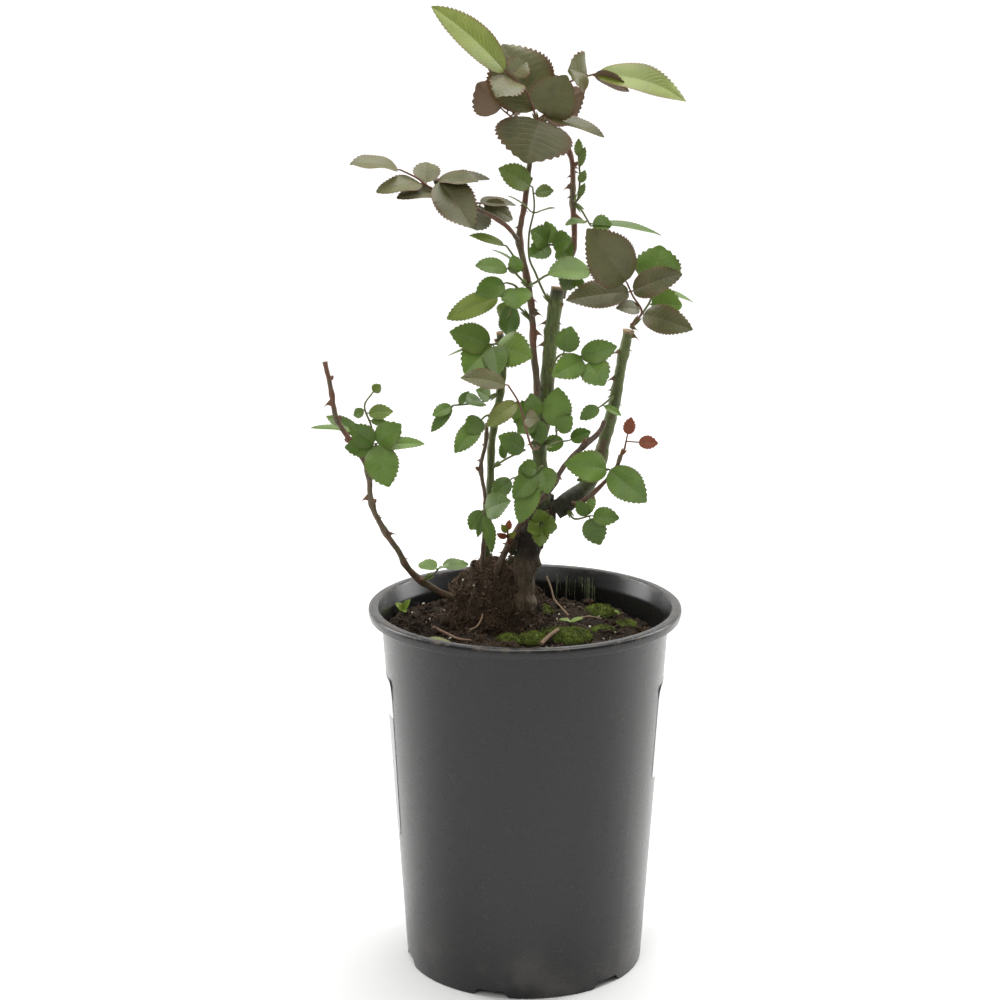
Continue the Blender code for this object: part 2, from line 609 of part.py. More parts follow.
def make_stem(name, points, radii, look):
    """A cane or shoot, remembered so that leaves and thorns can find it."""
    routes[name] = (points, radii)
    stem = place(name, tube_mesh(name, points, radii, 8), look)
    spikes = [t for t in THORNS if t[0] == name]
    if spikes:
        boolean(stem, thorns(name + "_thorns", spikes), "UNION")
    return stem


def thorns(name, spikes):
    """All of one stem's thorns: short cones that begin inside the bark."""
    bm = bmesh.new()
    for stem, height, way in spikes:
        centre, _, bark = on_stem(stem, height)
        out = Vector(way).normalized()
        length = bark + THORN_LENGTH
        turn = out.to_track_quat("Z", "Y").to_matrix().to_4x4()
        at = Matrix.Translation(centre + out * (length / 2 + bark * 0.3)) @ turn
        bmesh.ops.create_cone(bm, cap_ends=True, segments=6, radius1=THORN_RADIUS, radius2=0.0003,
                              depth=length - bark * 0.3, matrix=at)
    return place(name, mesh_from(bm, name))


def make_canes():
    bark = {
        "crown": ("crown_bark", (0.045, 0.032, 0.020), 0.85),
        "arch_cane": ("brown_bark", (0.110, 0.070, 0.042), 0.70),
        "thin_stem": ("brown_bark", (0.110, 0.070, 0.042), 0.70),
        "left_cane": ("young_bark", (0.130, 0.105, 0.055), 0.60),
        "tall_cane": ("young_bark", (0.130, 0.105, 0.055), 0.60),
        "upper_cane": ("young_bark", (0.130, 0.105, 0.055), 0.60),
    }
    for name, (base, top, route) in STEMS.items():
        points = [mm(p) for p in route]
        if name == "crown":
            points[-1].z -= GAP
        skin = bark.get(name, ("green_bark", (0.09, 0.10, 0.05), 0.6))
        make_stem(name, points, tapered(base, top, len(points)), skin)
    for name, (stem, height, base, top, route) in SHOOTS.items():
        points = [mm(p) for p in route]
        points.insert(0, stalk_start(stem, height, points[0], base * MM / 2))
        make_stem(name, points, tapered(base, top, len(points)), ("young_bark", (0.130, 0.105, 0.055), 0.60))


def along(points, part):
    """The point this part of the way along a route."""
    lengths = [(b - a).length for a, b in zip(points, points[1:])]
    left = part * sum(lengths)
    for a, b, length in zip(points, points[1:], lengths):
        if left <= length:
            return a.lerp(b, left / length)
        left -= length
    return points[-1]


def add_blade(bm, base, tip, width, face):
    """A leaflet: a four-sided ball drawn out to an oval blade, thick at its midrib and sharp at its margin.

    The blade arches along its length and folds up from the midrib.
    """
    run = tip - base
    length = run.length
    forward = run / length
    up = Vector(face)
    up = (up - forward * up.dot(forward)).normalized()
    side = forward.cross(up)
    outline = BLADE_OUTLINE if width > SMALL_BLADE else SMALL_OUTLINE
    rows = len(outline) - 1
    ball = bmesh.ops.create_uvsphere(bm, u_segments=4, v_segments=rows, radius=1.0)
    for v in ball["verts"]:
        row = round(math.acos(max(-1.0, min(1.0, v.co.z))) / math.pi * rows)
        part, half = outline[row]
        arch = BLADE_ARCH * length * 4 * part * (1 - part)
        if half == 0:
            v.co = base + run * part
        elif abs(v.co.x) > abs(v.co.y):
            reach = math.copysign(half * width / 2, v.co.x)
            v.co = base + run * part + side * reach + up * (arch + BLADE_FOLD * abs(reach))
        else:
            v.co = base + run * part + up * (arch + math.copysign(BLADE_THICKNESS / 2, v.co.y))


def make_leaf(name, look, stem, height, route, blades):
    """One compound leaf: its leaflets' sheets made solid and joined to the stalk as one body."""
    stalk = [mm(p) for p in route]
    stalk.insert(0, stalk_start(stem, height, stalk[0], PETIOLE_RADIUS))
    stalk = smooth(stalk, 2) if len(stalk) < 4 else stalk
    past = stalk[-1] + (mm(blades[0][1]) - stalk[-1]).normalized() * 2 * PETIOLE_RADIUS
    radii = tapered(PETIOLE_RADIUS * 2000, PETIOLE_RADIUS * 1500, len(stalk) + 1)
    guide = place(name + "_stalk", tube_mesh(name + "_stalk", [*stalk, past], radii, 4))
    bm = bmesh.new()
    for part, tip, width, face, *bare in blades:
        base = along(stalk, part)
        end = mm(tip)
        base += (end - base).normalized() * PETIOLE_RADIUS * 0.3
        if bare:
            stalk_end = base.lerp(end, bare[0])
            side_stalk = tube_mesh(name + "_side", [base, stalk_end], tapered(1.2, 1.2, 2), 4)
            side = place(name + "_side", side_stalk)
            boolean(guide, side, "UNION")
            base = stalk_end - (end - base).normalized() * PETIOLE_RADIUS
        add_blade(bm, base, end, width * MM, face)
    leaf = place(name, mesh_from(bm, name), (*look, 0.5))
    boolean(leaf, guide, "UNION", crossing=True)
    return leaf


def make_debris():
    """A fallen leaf and a dead twig that lie on the soil."""
    twig = [mm(p) for p in ((-58, -6, 223), (-50, -16, 224), (-42, -26, 222), (-34, -36, 222))]
    twig = [Vector((p.x, p.y, soil_height(p.x, p.y) + 0.0034)) for p in twig]
    place("fallen_twig", tube_mesh("fallen_twig", twig, tapered(2.2, 1.4, 4), 6),
          ("brown_bark", (0.110, 0.070, 0.042), 0.70))
    bm = bmesh.new()
    flat = ((-66 * MM, -32 * MM), (-44 * MM, -46 * MM))
    ends = [Vector((x, y, soil_height(x, y) + 0.0030)) for x, y in flat]
    add_blade(bm, ends[0], ends[1], 0.013, (0, 0, 1))
    place("fallen_leaf", mesh_from(bm, "fallen_leaf"), ("fallen_leaf", (0.20, 0.20, 0.09), 0.6))


for old in list(bpy.data.objects):
    bpy.data.objects.remove(old)

routes = {}
parts = collection("potted_rose")
cutters = collection("cutters")
stand = bpy.data.objects.new("pot_axis", None)
stand.location.x = POT_X
parts.objects.link(stand)
bpy.context.view_layer.update()

make_pot()
soil = make_soil()
peat = ("fibrous_peat", (0.070, 0.045, 0.025), 0.95)
root_ball, root_bed = lump("root_ball", (-20, 20, 224), (30, 22, 38), 8, peat)
boolean(soil, root_bed, "DIFFERENCE")
for title, spot, size in (
    ("moss_front", (30, -12, 218), (12, 13, 5)),
    ("moss_back", (50, 50, 216), (10, 9, 5)),
):
    cushion, bed = lump(title, spot, size, 7, ("moss", (0.120, 0.150, 0.022), 0.9))
    boolean(soil, bed, "DIFFERENCE")
make_label("label_left", -17, -10, 0.088, 0.193)
make_label("label_right", 10, 17, 0.128, 0.190)
make_canes()
for stem in ("crown", "arch_cane", "left_cane", "thin_stem", "pruned_stem"):
    points, radii = routes[stem]
    hole = [points[0] - (points[1] - points[0]).normalized() * GAP, *points[1:5]]
    socket = place(stem + "_socket", tube_mesh(stem + "_socket", hole, [r + 2 * GAP for r in radii[:5]], 8))
    boolean(root_ball, socket, "DIFFERENCE")
for row in LEAVES:
    make_leaf(*row)
make_debris()
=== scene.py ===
# %% [markdown]
# # A potted rose
# This lesson dresses a young rose bush in a black nursery pot. The solid model gives every
# piece its place and size. Here each piece gets its real surface: toothed leaflets with
# veins, barked canes with thorns, crumbly soil with moss, and satin recycled plastic.

# %% Set up
import math

import bmesh
import bpy
import numpy as np
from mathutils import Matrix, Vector, noise


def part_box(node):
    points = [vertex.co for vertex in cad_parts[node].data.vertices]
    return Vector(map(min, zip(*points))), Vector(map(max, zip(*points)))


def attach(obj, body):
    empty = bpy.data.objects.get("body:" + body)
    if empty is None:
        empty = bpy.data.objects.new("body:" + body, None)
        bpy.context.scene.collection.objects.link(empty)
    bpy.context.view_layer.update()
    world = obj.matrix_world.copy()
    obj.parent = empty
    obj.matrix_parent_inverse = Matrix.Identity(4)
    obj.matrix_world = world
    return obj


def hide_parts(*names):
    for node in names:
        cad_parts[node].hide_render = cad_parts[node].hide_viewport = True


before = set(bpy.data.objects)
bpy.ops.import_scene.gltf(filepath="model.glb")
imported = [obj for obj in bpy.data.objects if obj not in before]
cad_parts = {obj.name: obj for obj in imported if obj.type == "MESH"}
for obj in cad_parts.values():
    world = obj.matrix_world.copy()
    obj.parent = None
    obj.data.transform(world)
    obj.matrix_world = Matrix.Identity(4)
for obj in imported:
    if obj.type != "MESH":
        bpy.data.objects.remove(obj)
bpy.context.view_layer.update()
MM = 0.001
POT_X = 0.014
rng = np.random.default_rng(7)

# %% [markdown]
# Every material is built from small sums. `Value` wraps one output of a node, so that a
# formula such as `streaks * 0.4 + 0.2` adds the Math nodes by itself. `Look` is one
# material with its Principled shader, and its `add` method makes any other node.

# %% Shader sums
class Value:
    """One output of a material's node, which + - * / and ** combine with numbers or other values."""

    def __init__(self, look, socket):
        self.look = look
        self.socket = socket

    def sum(self, operation, a, b, clamp=False):
        return self.look.add("ShaderNodeMath", {"operation": operation, "use_clamp": clamp}, {0: a, 1: b})

    def __add__(self, other):
        return self.sum("ADD", self, other)

    def __sub__(self, other):
        return self.sum("SUBTRACT", self, other)

    def __mul__(self, other):
        return self.sum("MULTIPLY", self, other)

    def __truediv__(self, other):
        return self.sum("DIVIDE", self, other)

    def __pow__(self, other):
        return self.sum("POWER", self, other)

    def __rsub__(self, other):
        return self.sum("SUBTRACT", other, self)

    __radd__ = __add__
    __rmul__ = __mul__

    def clamped(self):
        return self.sum("ADD", self, 0.0, clamp=True)

    def wave(self):
        return self.look.add("ShaderNodeMath", {"operation": "SINE"}, {0: self})

    def size(self):
        return self.look.add("ShaderNodeMath", {"operation": "ABSOLUTE"}, {0: self})

    def step(self, low, high):
        """0 below low, 1 above high and a smooth slope between them."""
        settings = {"interpolation_type": "SMOOTHSTEP"}
        return self.look.add("ShaderNodeMapRange", settings,
                             {"Value": self, "From Min": low, "From Max": high})


class Look:
    """A material with one Principled shader."""

    def __init__(self, name, roughness=0.5, **constants):
        self.material = bpy.data.materials.new(name)
        self.material.use_nodes = True
        self.tree = self.material.node_tree
        self.shader = self.tree.nodes["Principled BSDF"]
        self.shader.inputs["Roughness"].default_value = roughness
        for socket, value in constants.items():
            self.shader.inputs[socket.replace("_", " ")].default_value = value

    def add(self, kind, settings=None, inputs=None, output=0):
        """A node of any kind: its settings first, then its inputs as values or links."""
        node = self.tree.nodes.new(kind)
        for name, value in (settings or {}).items():
            setattr(node, name, value)
        for name, value in (inputs or {}).items():
            if isinstance(value, Value):
                self.tree.links.new(value.socket, node.inputs[name])
            else:
                node.inputs[name].default_value = value
        return Value(self, node.outputs[output])

    def place(self, scale=1.0):
        """The piece's own coordinates, in metres times scale, which is a number or three."""
        spot = self.add("ShaderNodeTexCoord", output="Object")
        triple = scale if isinstance(scale, tuple) else (scale,) * 3
        return self.add("ShaderNodeVectorMath", {"operation": "MULTIPLY"}, {0: spot, 1: triple})

    def noise(self, scale, detail=3.0, roughness=0.55):
        inputs = {"Vector": self.place(scale), "Scale": 1.0, "Detail": detail, "Roughness": roughness}
        return self.add("ShaderNodeTexNoise", None, inputs)

    def cells(self, scale):
        return self.add("ShaderNodeTexVoronoi", None, {"Vector": self.place(scale), "Scale": 1.0})

    def held(self, name):
        """A number that the mesh holds at each point."""
        return self.add("ShaderNodeAttribute", {"attribute_name": name}, output="Fac")

    def mix(self, factor, a, b):
        """Colour a where factor is 0 and colour b where it is 1."""
        a, b = [c if isinstance(c, Value) else (*c, 1) for c in (a, b)]
        return self.add("ShaderNodeMix", {"data_type": "RGBA"}, {0: factor, 6: a, 7: b}, output=2)

    def feed(self, **sockets):
        for name, value in sockets.items():
            self.tree.links.new(value.socket, self.shader.inputs[name.replace("_", " ")])

    def relief(self, height, distance, strength=1.0):
        """Fine relief that only the light sees."""
        inputs = {"Height": height, "Distance": distance, "Strength": strength}
        self.feed(Normal=self.add("ShaderNodeBump", None, inputs))

    def glow(self, colour, share):
        """Light that passes through a thin piece, as a fixed share of its surface."""
        through = self.add("ShaderNodeBsdfTranslucent", None, {"Color": colour})
        solid = Value(self, self.shader.outputs[0])
        mixed = self.add("ShaderNodeMixShader", None, {0: share, 1: solid, 2: through})
        out = self.tree.nodes["Material Output"]
        self.tree.links.new(mixed.socket, out.inputs["Surface"])


print("shader helpers ready")

# %% [markdown]
# Meshes are worked out as arrays of points. `Shape` gathers points, faces and the numbers
# that a material reads from them, and turns them into one piece that rides on the plant.

# %% Shape helpers
class Shape:
    """Points, faces and held numbers of one piece."""

    def __init__(self, *held):
        self.points = []
        self.faces = []
        self.held = {name: [] for name in held}
        self.count = 0

    def add(self, points, faces, **held):
        points = np.asarray(points, float).reshape(-1, 3)
        self.faces.extend([tuple(i + self.count for i in face) for face in faces])
        self.points.append(points)
        for name, values in self.held.items():
            values.append(np.broadcast_to(held.get(name, 0.0), len(points)))
        self.count += len(points)

    def piece(self, name, look, slot, *nodes, smooth=True):
        mesh = bpy.data.meshes.new(name)
        mesh.from_pydata((np.concatenate(self.points) + (POT_X, 0, 0)).tolist(), [], self.faces)
        for title, values in self.held.items():
            attribute = mesh.attributes.new(title, "FLOAT", "POINT")
            attribute.data.foreach_set("value", np.concatenate(values).astype(np.float32))
        if smooth:
            mesh.shade_smooth()
            mesh.set_sharp_from_angle(angle=math.radians(60))
        return settle(bpy.data.objects.new(name, mesh), look, slot, *nodes)


def settle(piece, look, slot, *nodes):
    """Gives a piece its material and its place in the frame."""
    if piece.name not in bpy.context.scene.objects:
        bpy.context.scene.collection.objects.link(piece)
    piece.data.materials.clear()
    piece.data.materials.append(look.material)
    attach(piece, "root")
    if nodes:
        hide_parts(*nodes)
    return piece


def smooth_route(points, steps):
    """A smooth curve through the points, with this many steps a span, and where each step is (0 to 1)."""
    p = np.asarray(points, float)
    p = np.vstack([2 * p[0] - p[1], p, 2 * p[-1] - p[-2]])
    t = (np.arange(steps) / steps)[:, None]
    spans = []
    for a, b, c, d in zip(p, p[1:], p[2:], p[3:]):
        spans.append(0.5 * (2 * b + (c - a) * t + (2 * a - 5 * b + 4 * c - d) * t**2
                            + (3 * b - a - 3 * c + d) * t**3))
    route = np.vstack([*spans, p[-2]])
    run = np.concatenate([[0], np.cumsum(np.linalg.norm(np.diff(route, axis=0), axis=1))])
    return route, run / run[-1]


def unit(v):
    return v / np.linalg.norm(v)


def ring_faces(rings, sides, flipped=False):
    """Quads between neighbouring rings of points; flipped makes them face the other way."""
    faces = []
    for i in range(rings - 1):
        for j in range(sides):
            here, beside = i * sides + j, i * sides + (j + 1) % sides
            over, across = beside + sides, here + sides
            faces.append((here, across, over, beside) if flipped else (here, beside, over, across))
    return faces


def tube(route, radii, sides, wobble=0.0):
    """Rings round a route, closed at both ends."""
    route = np.asarray(route, float)
    radii = np.broadcast_to(radii, len(route))
    ways = np.gradient(route, axis=0)
    across = unit(np.cross(ways[0], (0.3, 1.0, 0.2)))
    turns = np.arange(sides) / sides * math.tau
    points = []
    for spot, way, radius in zip(route, ways, radii):
        way = unit(way)
        across = unit(across - way * across.dot(way))
        other = np.cross(way, across)
        ring = np.cos(turns)[:, None] * across + np.sin(turns)[:, None] * other
        uneven = 1 + wobble * np.sin(turns * 3 + 90 * spot[2] / 0.1)[:, None]
        points.append(spot + ring * radius * uneven)
    points += [route[:1], route[-1:]]
    rows = len(route)
    faces = ring_faces(rows, sides)
    low, high = rows * sides, rows * sides + 1
    faces += [(low, (j + 1) % sides, j) for j in range(sides)]
    faces += [(high, high - 2 - sides + 1 + j, high - 2 - sides + 1 + (j + 1) % sides) for j in range(sides)]
    return np.vstack(points), faces


print("shape helpers ready")

# %% [markdown]
# ## Camera, floor and light
# The plant stands on a pale sweep that curves up behind it, so that no horizon shows. The
# camera looks down by about 14 degrees through a long lens. Two tall soft lights give the
# pot its pale edges, one above lights the leaves, one fills in from the front, and two
# brighten the backdrop.

# %% Camera
camera = bpy.data.objects.new("camera", bpy.data.cameras.new("camera"))
camera.data.lens = 87.7
camera.location = (POT_X - 0.0159, -1.4942, 0.6688)
camera.rotation_euler = (math.radians(76.325), 0, 0)
bpy.context.scene.collection.objects.link(camera)
bpy.context.scene.camera = camera
bpy.context.scene.view_settings.view_transform = "Standard"
print("camera at", tuple(camera.location))

# %% Floor
FLOOR_FRONT, FLOOR_BACK, SWEEP_RADIUS, WALL_TOP, HALF_WIDTH = -5.0, 2.4, 1.2, 3.5, 5.0


def make_floor():
    """A floor that turns up into a wall far behind the plant."""
    bends = [math.radians(a) for a in range(0, 91, 6)]
    side = [(FLOOR_FRONT, 0.0)]
    side += [(FLOOR_BACK + SWEEP_RADIUS * math.sin(a), SWEEP_RADIUS * (1 - math.cos(a))) for a in bends]
    side.append((FLOOR_BACK + SWEEP_RADIUS, WALL_TOP))
    points = [(x, y, z) for y, z in side for x in (-HALF_WIDTH, HALF_WIDTH)]
    faces = [(i, i + 1, i + 3, i + 2) for i in range(0, len(points) - 2, 2)]
    mesh = bpy.data.meshes.new("floor")
    mesh.from_pydata(points, [], faces)
    mesh.shade_smooth()
    floor = bpy.data.objects.new("floor", mesh)
    bpy.context.scene.collection.objects.link(floor)
    paint = Look("pale_floor", 0.85)
    shade = paint.noise(3.0)
    paint.feed(Base_Color=paint.mix(shade, (0.80, 0.80, 0.79), (0.84, 0.84, 0.83)))
    floor.data.materials.append(paint.material)


make_floor()

# %% Lights
ROOM_GLOW = 0.30
# Each light: where it hangs, what it points at, its width and height in metres, and its power.
LIGHTS = {
    "left_softbox": ((-1.3, 0.5, 0.8), (0, 0.1, 0.25), (0.7, 1.4), 13),
    "right_softbox": ((1.3, 0.5, 0.8), (0, 0.1, 0.25), (0.7, 1.4), 13),
    "top_softbox": ((0.15, 0.15, 1.7), (0, 0.05, 0.3), (1.2, 1.2), 26),
    "front_fill": ((-0.7, -1.9, 1.7), (0, 0, 0.4), (1.0, 1.0), 15),
    "backdrop_left": ((-2.2, 1.4, 1.9), (-0.5, 3.6, 0.4), (1.6, 1.6), 62),
    "backdrop_right": ((2.2, 1.4, 1.9), (0.5, 3.6, 0.4), (1.6, 1.6), 62),
}


def make_light(name, place, target, size, power):
    light = bpy.data.lights.new(name, "AREA")
    light.shape = "RECTANGLE"
    light.size, light.size_y = size
    light.energy = power
    lamp = bpy.data.objects.new(name, light)
    lamp.location = place
    lamp.rotation_euler = (Vector(target) - Vector(place)).to_track_quat("-Z", "Y").to_euler()
    bpy.context.scene.collection.objects.link(lamp)


for name, row in LIGHTS.items():
    make_light(name, *row)
world = bpy.data.worlds.new("room")
world.use_nodes = True
world.node_tree.nodes["Background"].inputs["Color"].default_value = (1.0, 1.0, 1.0, 1)
world.node_tree.nodes["Background"].inputs["Strength"].default_value = ROOM_GLOW
bpy.context.scene.world = world
print(len(LIGHTS), "soft lights")

# %% [markdown]
# ## The pot
# A nursery pot is one injection of black polypropylene: a thin tapered wall, a stiff rolled
# rim, and a foot ring with six wide notches that let water out. It is a profile turned
# about the axis. The notches and the drain holes are then cut by Booleans, as a mould's
# cores would leave them.

# %% Pot sizes
low_corner, high_corner = (np.array(c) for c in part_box("pot"))
POT_HEIGHT = high_corner[2]
RIM_RADIUS = (high_corner[0] - low_corner[0]) / 2
RIM_BAND = 0.0064
NECK_RADIUS = RIM_RADIUS - 0.0085
FOOT_RADIUS = RIM_RADIUS - 0.0235
WALL = 0.0017
FLOOR_BOTTOM, FLOOR_TOP = 0.0052, 0.0070
POT_SIDES = 180
NOTCHES, NOTCH_TURN = 6, math.radians(43.3)
print(f"pot {POT_HEIGHT * 1000:.0f} mm high, {RIM_RADIUS * 2000:.0f} mm across its rim")


def wall_radius(height):
    """The outer radius of the tapered wall at a height."""
    return FOOT_RADIUS + (NECK_RADIUS - FOOT_RADIUS) * height / (POT_HEIGHT - RIM_BAND)


def inner_radius(height):
    return wall_radius(height) - WALL


# %% Turning a profile
def rounded(corners, steps=5):
    """A profile whose corners, each (radius, height, rounding), are turned into short arcs."""
    made = [corners[0][:2]]
    for before, (r, z, cut), after in zip(corners, corners[1:], corners[2:]):
        corner = np.array((r, z))
        ways = [unit(np.array(end[:2]) - corner) for end in (before, after)]
        start, end = corner + ways[0] * cut, corner + ways[1] * cut
        for t in np.linspace(0, 1, steps) if cut else (0.5,):
            made.append((1 - t) ** 2 * start + 2 * t * (1 - t) * corner + t**2 * end)
    return [*made, corners[-1][:2]]


def turned(name, profile, sides):
    """A solid from a profile that starts and ends on the axis and runs down its outside."""
    outline = np.array([tuple(p) for p in profile])
    turns = np.arange(sides) / sides * math.tau
    rings = [np.stack([r * np.sin(turns), -r * np.cos(turns), np.full(sides, z)], 1) for r, z in outline]
    faces = ring_faces(len(rings), sides, flipped=True)
    bm = bmesh.new()
    spots = [bm.verts.new((p[0] + POT_X, p[1], p[2])) for p in np.vstack(rings)]
    for face in faces:
        bm.faces.new([spots[i] for i in face])
    bmesh.ops.remove_doubles(bm, verts=bm.verts, dist=1e-7)
    mesh = bpy.data.meshes.new(name)
    bm.to_mesh(mesh)
    bm.free()
    return bpy.data.objects.new(name, mesh)


def cut(piece, cutters):
    """Takes the cutters out of a piece and removes them."""
    for cutter in cutters:
        bpy.context.scene.collection.objects.link(cutter)
        boolean = piece.modifiers.new(cutter.name, "BOOLEAN")
        boolean.object = cutter
    bpy.context.view_layer.update()
    shaped = piece.evaluated_get(bpy.context.evaluated_depsgraph_get())
    mesh = bpy.data.meshes.new_from_object(shaped)
    piece.modifiers.clear()
    piece.data = mesh
    for cutter in cutters:
        bpy.data.objects.remove(cutter)


# %% Pot cutters
def notch(turn):
    """A wedge, wider at the ground, laid through the foot ring."""
    bm = bmesh.new()
    bmesh.ops.create_cube(bm, size=1.0)
    for v in bm.verts:
        half = 0.00825 if v.co.z > 0 else 0.0135
        v.co = (math.copysign(half, v.co.x), math.copysign(0.006, v.co.y), 0.0045 if v.co.z > 0 else -0.002)
    return placed(bm, "notch", FOOT_RADIUS - 0.0013, turn, 0.0)


def drain(out, turn):
    bm = bmesh.new()
    bmesh.ops.create_cone(bm, cap_ends=True, segments=32, radius1=0.0055, radius2=0.0055, depth=0.01)
    return placed(bm, "drain", out, turn, (FLOOR_BOTTOM + FLOOR_TOP) / 2)


def placed(bm, name, out, turn, height):
    mesh = bpy.data.meshes.new(name)
    bm.to_mesh(mesh)
    bm.free()
    cutter = bpy.data.objects.new(name, mesh)
    cutter.location = (POT_X + out * math.sin(turn), -out * math.cos(turn), height)
    cutter.rotation_euler.z = turn
    return cutter


# %% [markdown]
# Black plastic is never quite black. It is a dark grey with a satin skin, a faint mottle
# from the recycled resin, hair scratches that run round the wall, and dust and brown wear
# on the rim and the foot, where pots are stacked and gripped.

# %% Plastic
def plastic_look():
    look = Look("satin_black_plastic", 0.3, Specular_IOR_Level=0.5)
    mottle = look.noise(60, detail=5)
    fine = look.noise(900, detail=2)
    scratch = look.noise((40, 40, 1800), detail=2).step(0.62, 0.72)
    height = look.add("ShaderNodeSeparateXYZ", None, {0: look.place()}, output=2)
    worn = (height.step(POT_HEIGHT - 0.0035, POT_HEIGHT)
            * look.noise(160, detail=4).step(0.46, 0.66)).clamped()
    dust = ((1 - height.step(0.0, 0.05)) * look.noise(35, detail=5).step(0.45, 0.75) * 0.5).clamped()
    dark = look.mix(mottle, (0.004, 0.004, 0.0042), (0.006, 0.006, 0.0062))
    dusty = look.mix(dust, dark, (0.075, 0.068, 0.058))
    look.feed(Base_Color=look.mix(worn * 0.7, dusty, (0.085, 0.066, 0.048)))
    look.feed(Roughness=mottle * 0.05 + scratch * 0.05 + worn * 0.2 + 0.25)
    look.relief(fine * 0.25 + scratch * 0.12 + mottle * 0.1, 0.00008, 0.35)
    return look


def make_pot():
    """The turned wall, rim and foot, with notches and drain holes cut through."""
    band = POT_HEIGHT - RIM_BAND
    inside_rim = RIM_RADIUS - 0.0062
    corners = (
        (0.0, FLOOR_TOP, 0),
        (inner_radius(FLOOR_TOP) - 0.0002, FLOOR_TOP, 0.0024),
        (inner_radius(band - 0.004), band - 0.004, 0.0015),
        (inside_rim, POT_HEIGHT, 0.0011),
        (RIM_RADIUS, POT_HEIGHT, 0.0022),
        (RIM_RADIUS - 0.0002, POT_HEIGHT - 0.0034, 0.0006),
        (RIM_RADIUS - 0.0008, band, 0.0006),
        (NECK_RADIUS + 0.0002, band - 0.0002, 0.0008),
        (wall_radius(0.0), 0.0, 0.0006),
        (FOOT_RADIUS - 0.0026, 0.0, 0.0003),
        (FOOT_RADIUS - 0.0034, FLOOR_BOTTOM, 0.0006),
        (0.0, FLOOR_BOTTOM, 0),
    )
    pot = turned("nursery_pot", rounded(corners), POT_SIDES)
    bpy.context.scene.collection.objects.link(pot)
    turns = [NOTCH_TURN + i * math.tau / NOTCHES for i in range(NOTCHES)]
    cut(pot, [notch(t) for t in turns] + [drain(0.062, t) for t in turns] + [drain(0.0, 0.0)])
    pot.data.shade_smooth()
    pot.data.set_sharp_from_angle(angle=math.radians(35))
    return settle(pot, plastic_look(), "pot_plastic", "pot")


pot = make_pot()
print("pot faces:", len(pot.data.polygons))

# %% [markdown]
# ## Labels
# Two paper stickers wrap the sides of the wall. They are left blank. Each is a thin sheet
# bent to the cone of the wall, with rounded corners, a hair of thickness and a corner that
# starts to lift.

# %% Label sheets
LABEL_THICKNESS = 0.0003
LABEL_LIFT = 0.0001


def label_look():
    look = Look("coated_paper", 0.38, Coat_Weight=0.15)
    height = look.held("rise")
    grain = look.noise(1400, detail=2)
    scuff = look.noise(220, detail=4).step(0.60, 0.78)
    shaded = look.mix(look.held("panel") * (1 - height.step(0.765, 0.77)), (0.66, 0.66, 0.655),
                      (0.26, 0.265, 0.275))
    look.feed(Base_Color=look.mix(scuff * 0.35, shaded, (0.55, 0.53, 0.50)))
    look.feed(Roughness=grain * 0.1 + scuff * 0.2 + 0.34)
    look.relief(grain, 0.00003, 0.4)
    return look


def make_label(name, node, edge, far_edge, low, high, panel, lean, look):
    """A sheet from its visible edge round the wall to its far edge, in degrees; lean slants it."""
    columns, rows, corner = 40, 30, 0.0022
    wide = wall_radius((low + high) / 2) * math.radians(abs(far_edge - edge))
    shape = Shape("rise", "panel")
    sheets = []
    for out in (LABEL_LIFT + LABEL_THICKNESS, LABEL_LIFT):
        spots = []
        for i in range(rows + 1):
            v = i / rows
            inset = corner - math.sqrt(
                max(0.0, corner**2 - max(0.0, corner - min(v, 1 - v) * (high - low)) ** 2))
            for j in range(columns + 1):
                u = (inset + (wide - 2 * inset) * j / columns) / wide
                turn = math.radians(edge + (far_edge - edge) * u + lean * (1 - v))
                height = low + (high - low) * v
                lifted = out + 0.0007 * max(0.0, 1 - math.hypot(u, 1 - v) * 5) ** 2
                r = wall_radius(height) + lifted
                spots.append((r * math.sin(turn), -r * math.cos(turn), height))
        sheets.append(spots)
    count = (rows + 1) * (columns + 1)
    across = columns + 1
    faces = [(i * across + j, i * across + j + 1, (i + 1) * across + j + 1, (i + 1) * across + j)
             for i in range(rows) for j in range(columns)]
    edge_loop = [*range(columns), *[i * across + columns for i in range(rows)],
                 *[rows * across + j for j in range(columns, 0, -1)],
                 *[i * across for i in range(rows, 0, -1)]]
    back = [tuple(i + count for i in reversed(f)) for f in faces]
    sides = [(a, a + count, b + count, b) for a, b in zip(edge_loop, edge_loop[1:] + edge_loop[:1])]
    turn_over = far_edge < edge
    everything = [tuple(reversed(f)) for f in faces + back + sides] if turn_over else faces + back + sides
    rise = np.repeat(np.linspace(0, 1, rows + 1), across)
    shape.add(sheets[0] + sheets[1], everything, rise=np.tile(rise, 2), panel=panel)
    return shape.piece(name, look, "label", node)


paper = label_look()
make_label("left_label", "label_left", -71.0, -127.0, 0.088, 0.194, 1.0, -4.0, paper)
make_label("right_label", "label_right", 72.5, 127.0, 0.128, 0.190, 0.0, 0.0, paper)
print("two blank labels")

# %% [markdown]
# ## Soil
# Potting soil is peat, bark crumbs and white perlite. One solid fills the pot and its top is
# roughened by layers of noise. Loose crumbs, grains and fibres are then strewn over it, each
# kind as one piece, because thousands of separate objects would be slow and gain nothing.

# %% Ground height
SOIL_TOP, SOIL_TILT = 0.2175, 0.045
SOIL_EDGE = inner_radius(SOIL_TOP) - 0.0006
MOUND = np.array((-20, 20, 224)) * MM
MOUND_SIZE = np.array((30, 22, 38)) * MM


def rough(points, scale, octaves=4):
    """Layered noise from about -1 to 1 at each point."""
    return np.array([noise.fractal(Vector(p), 0.9, 2.1, octaves) for p in np.asarray(points) * scale])


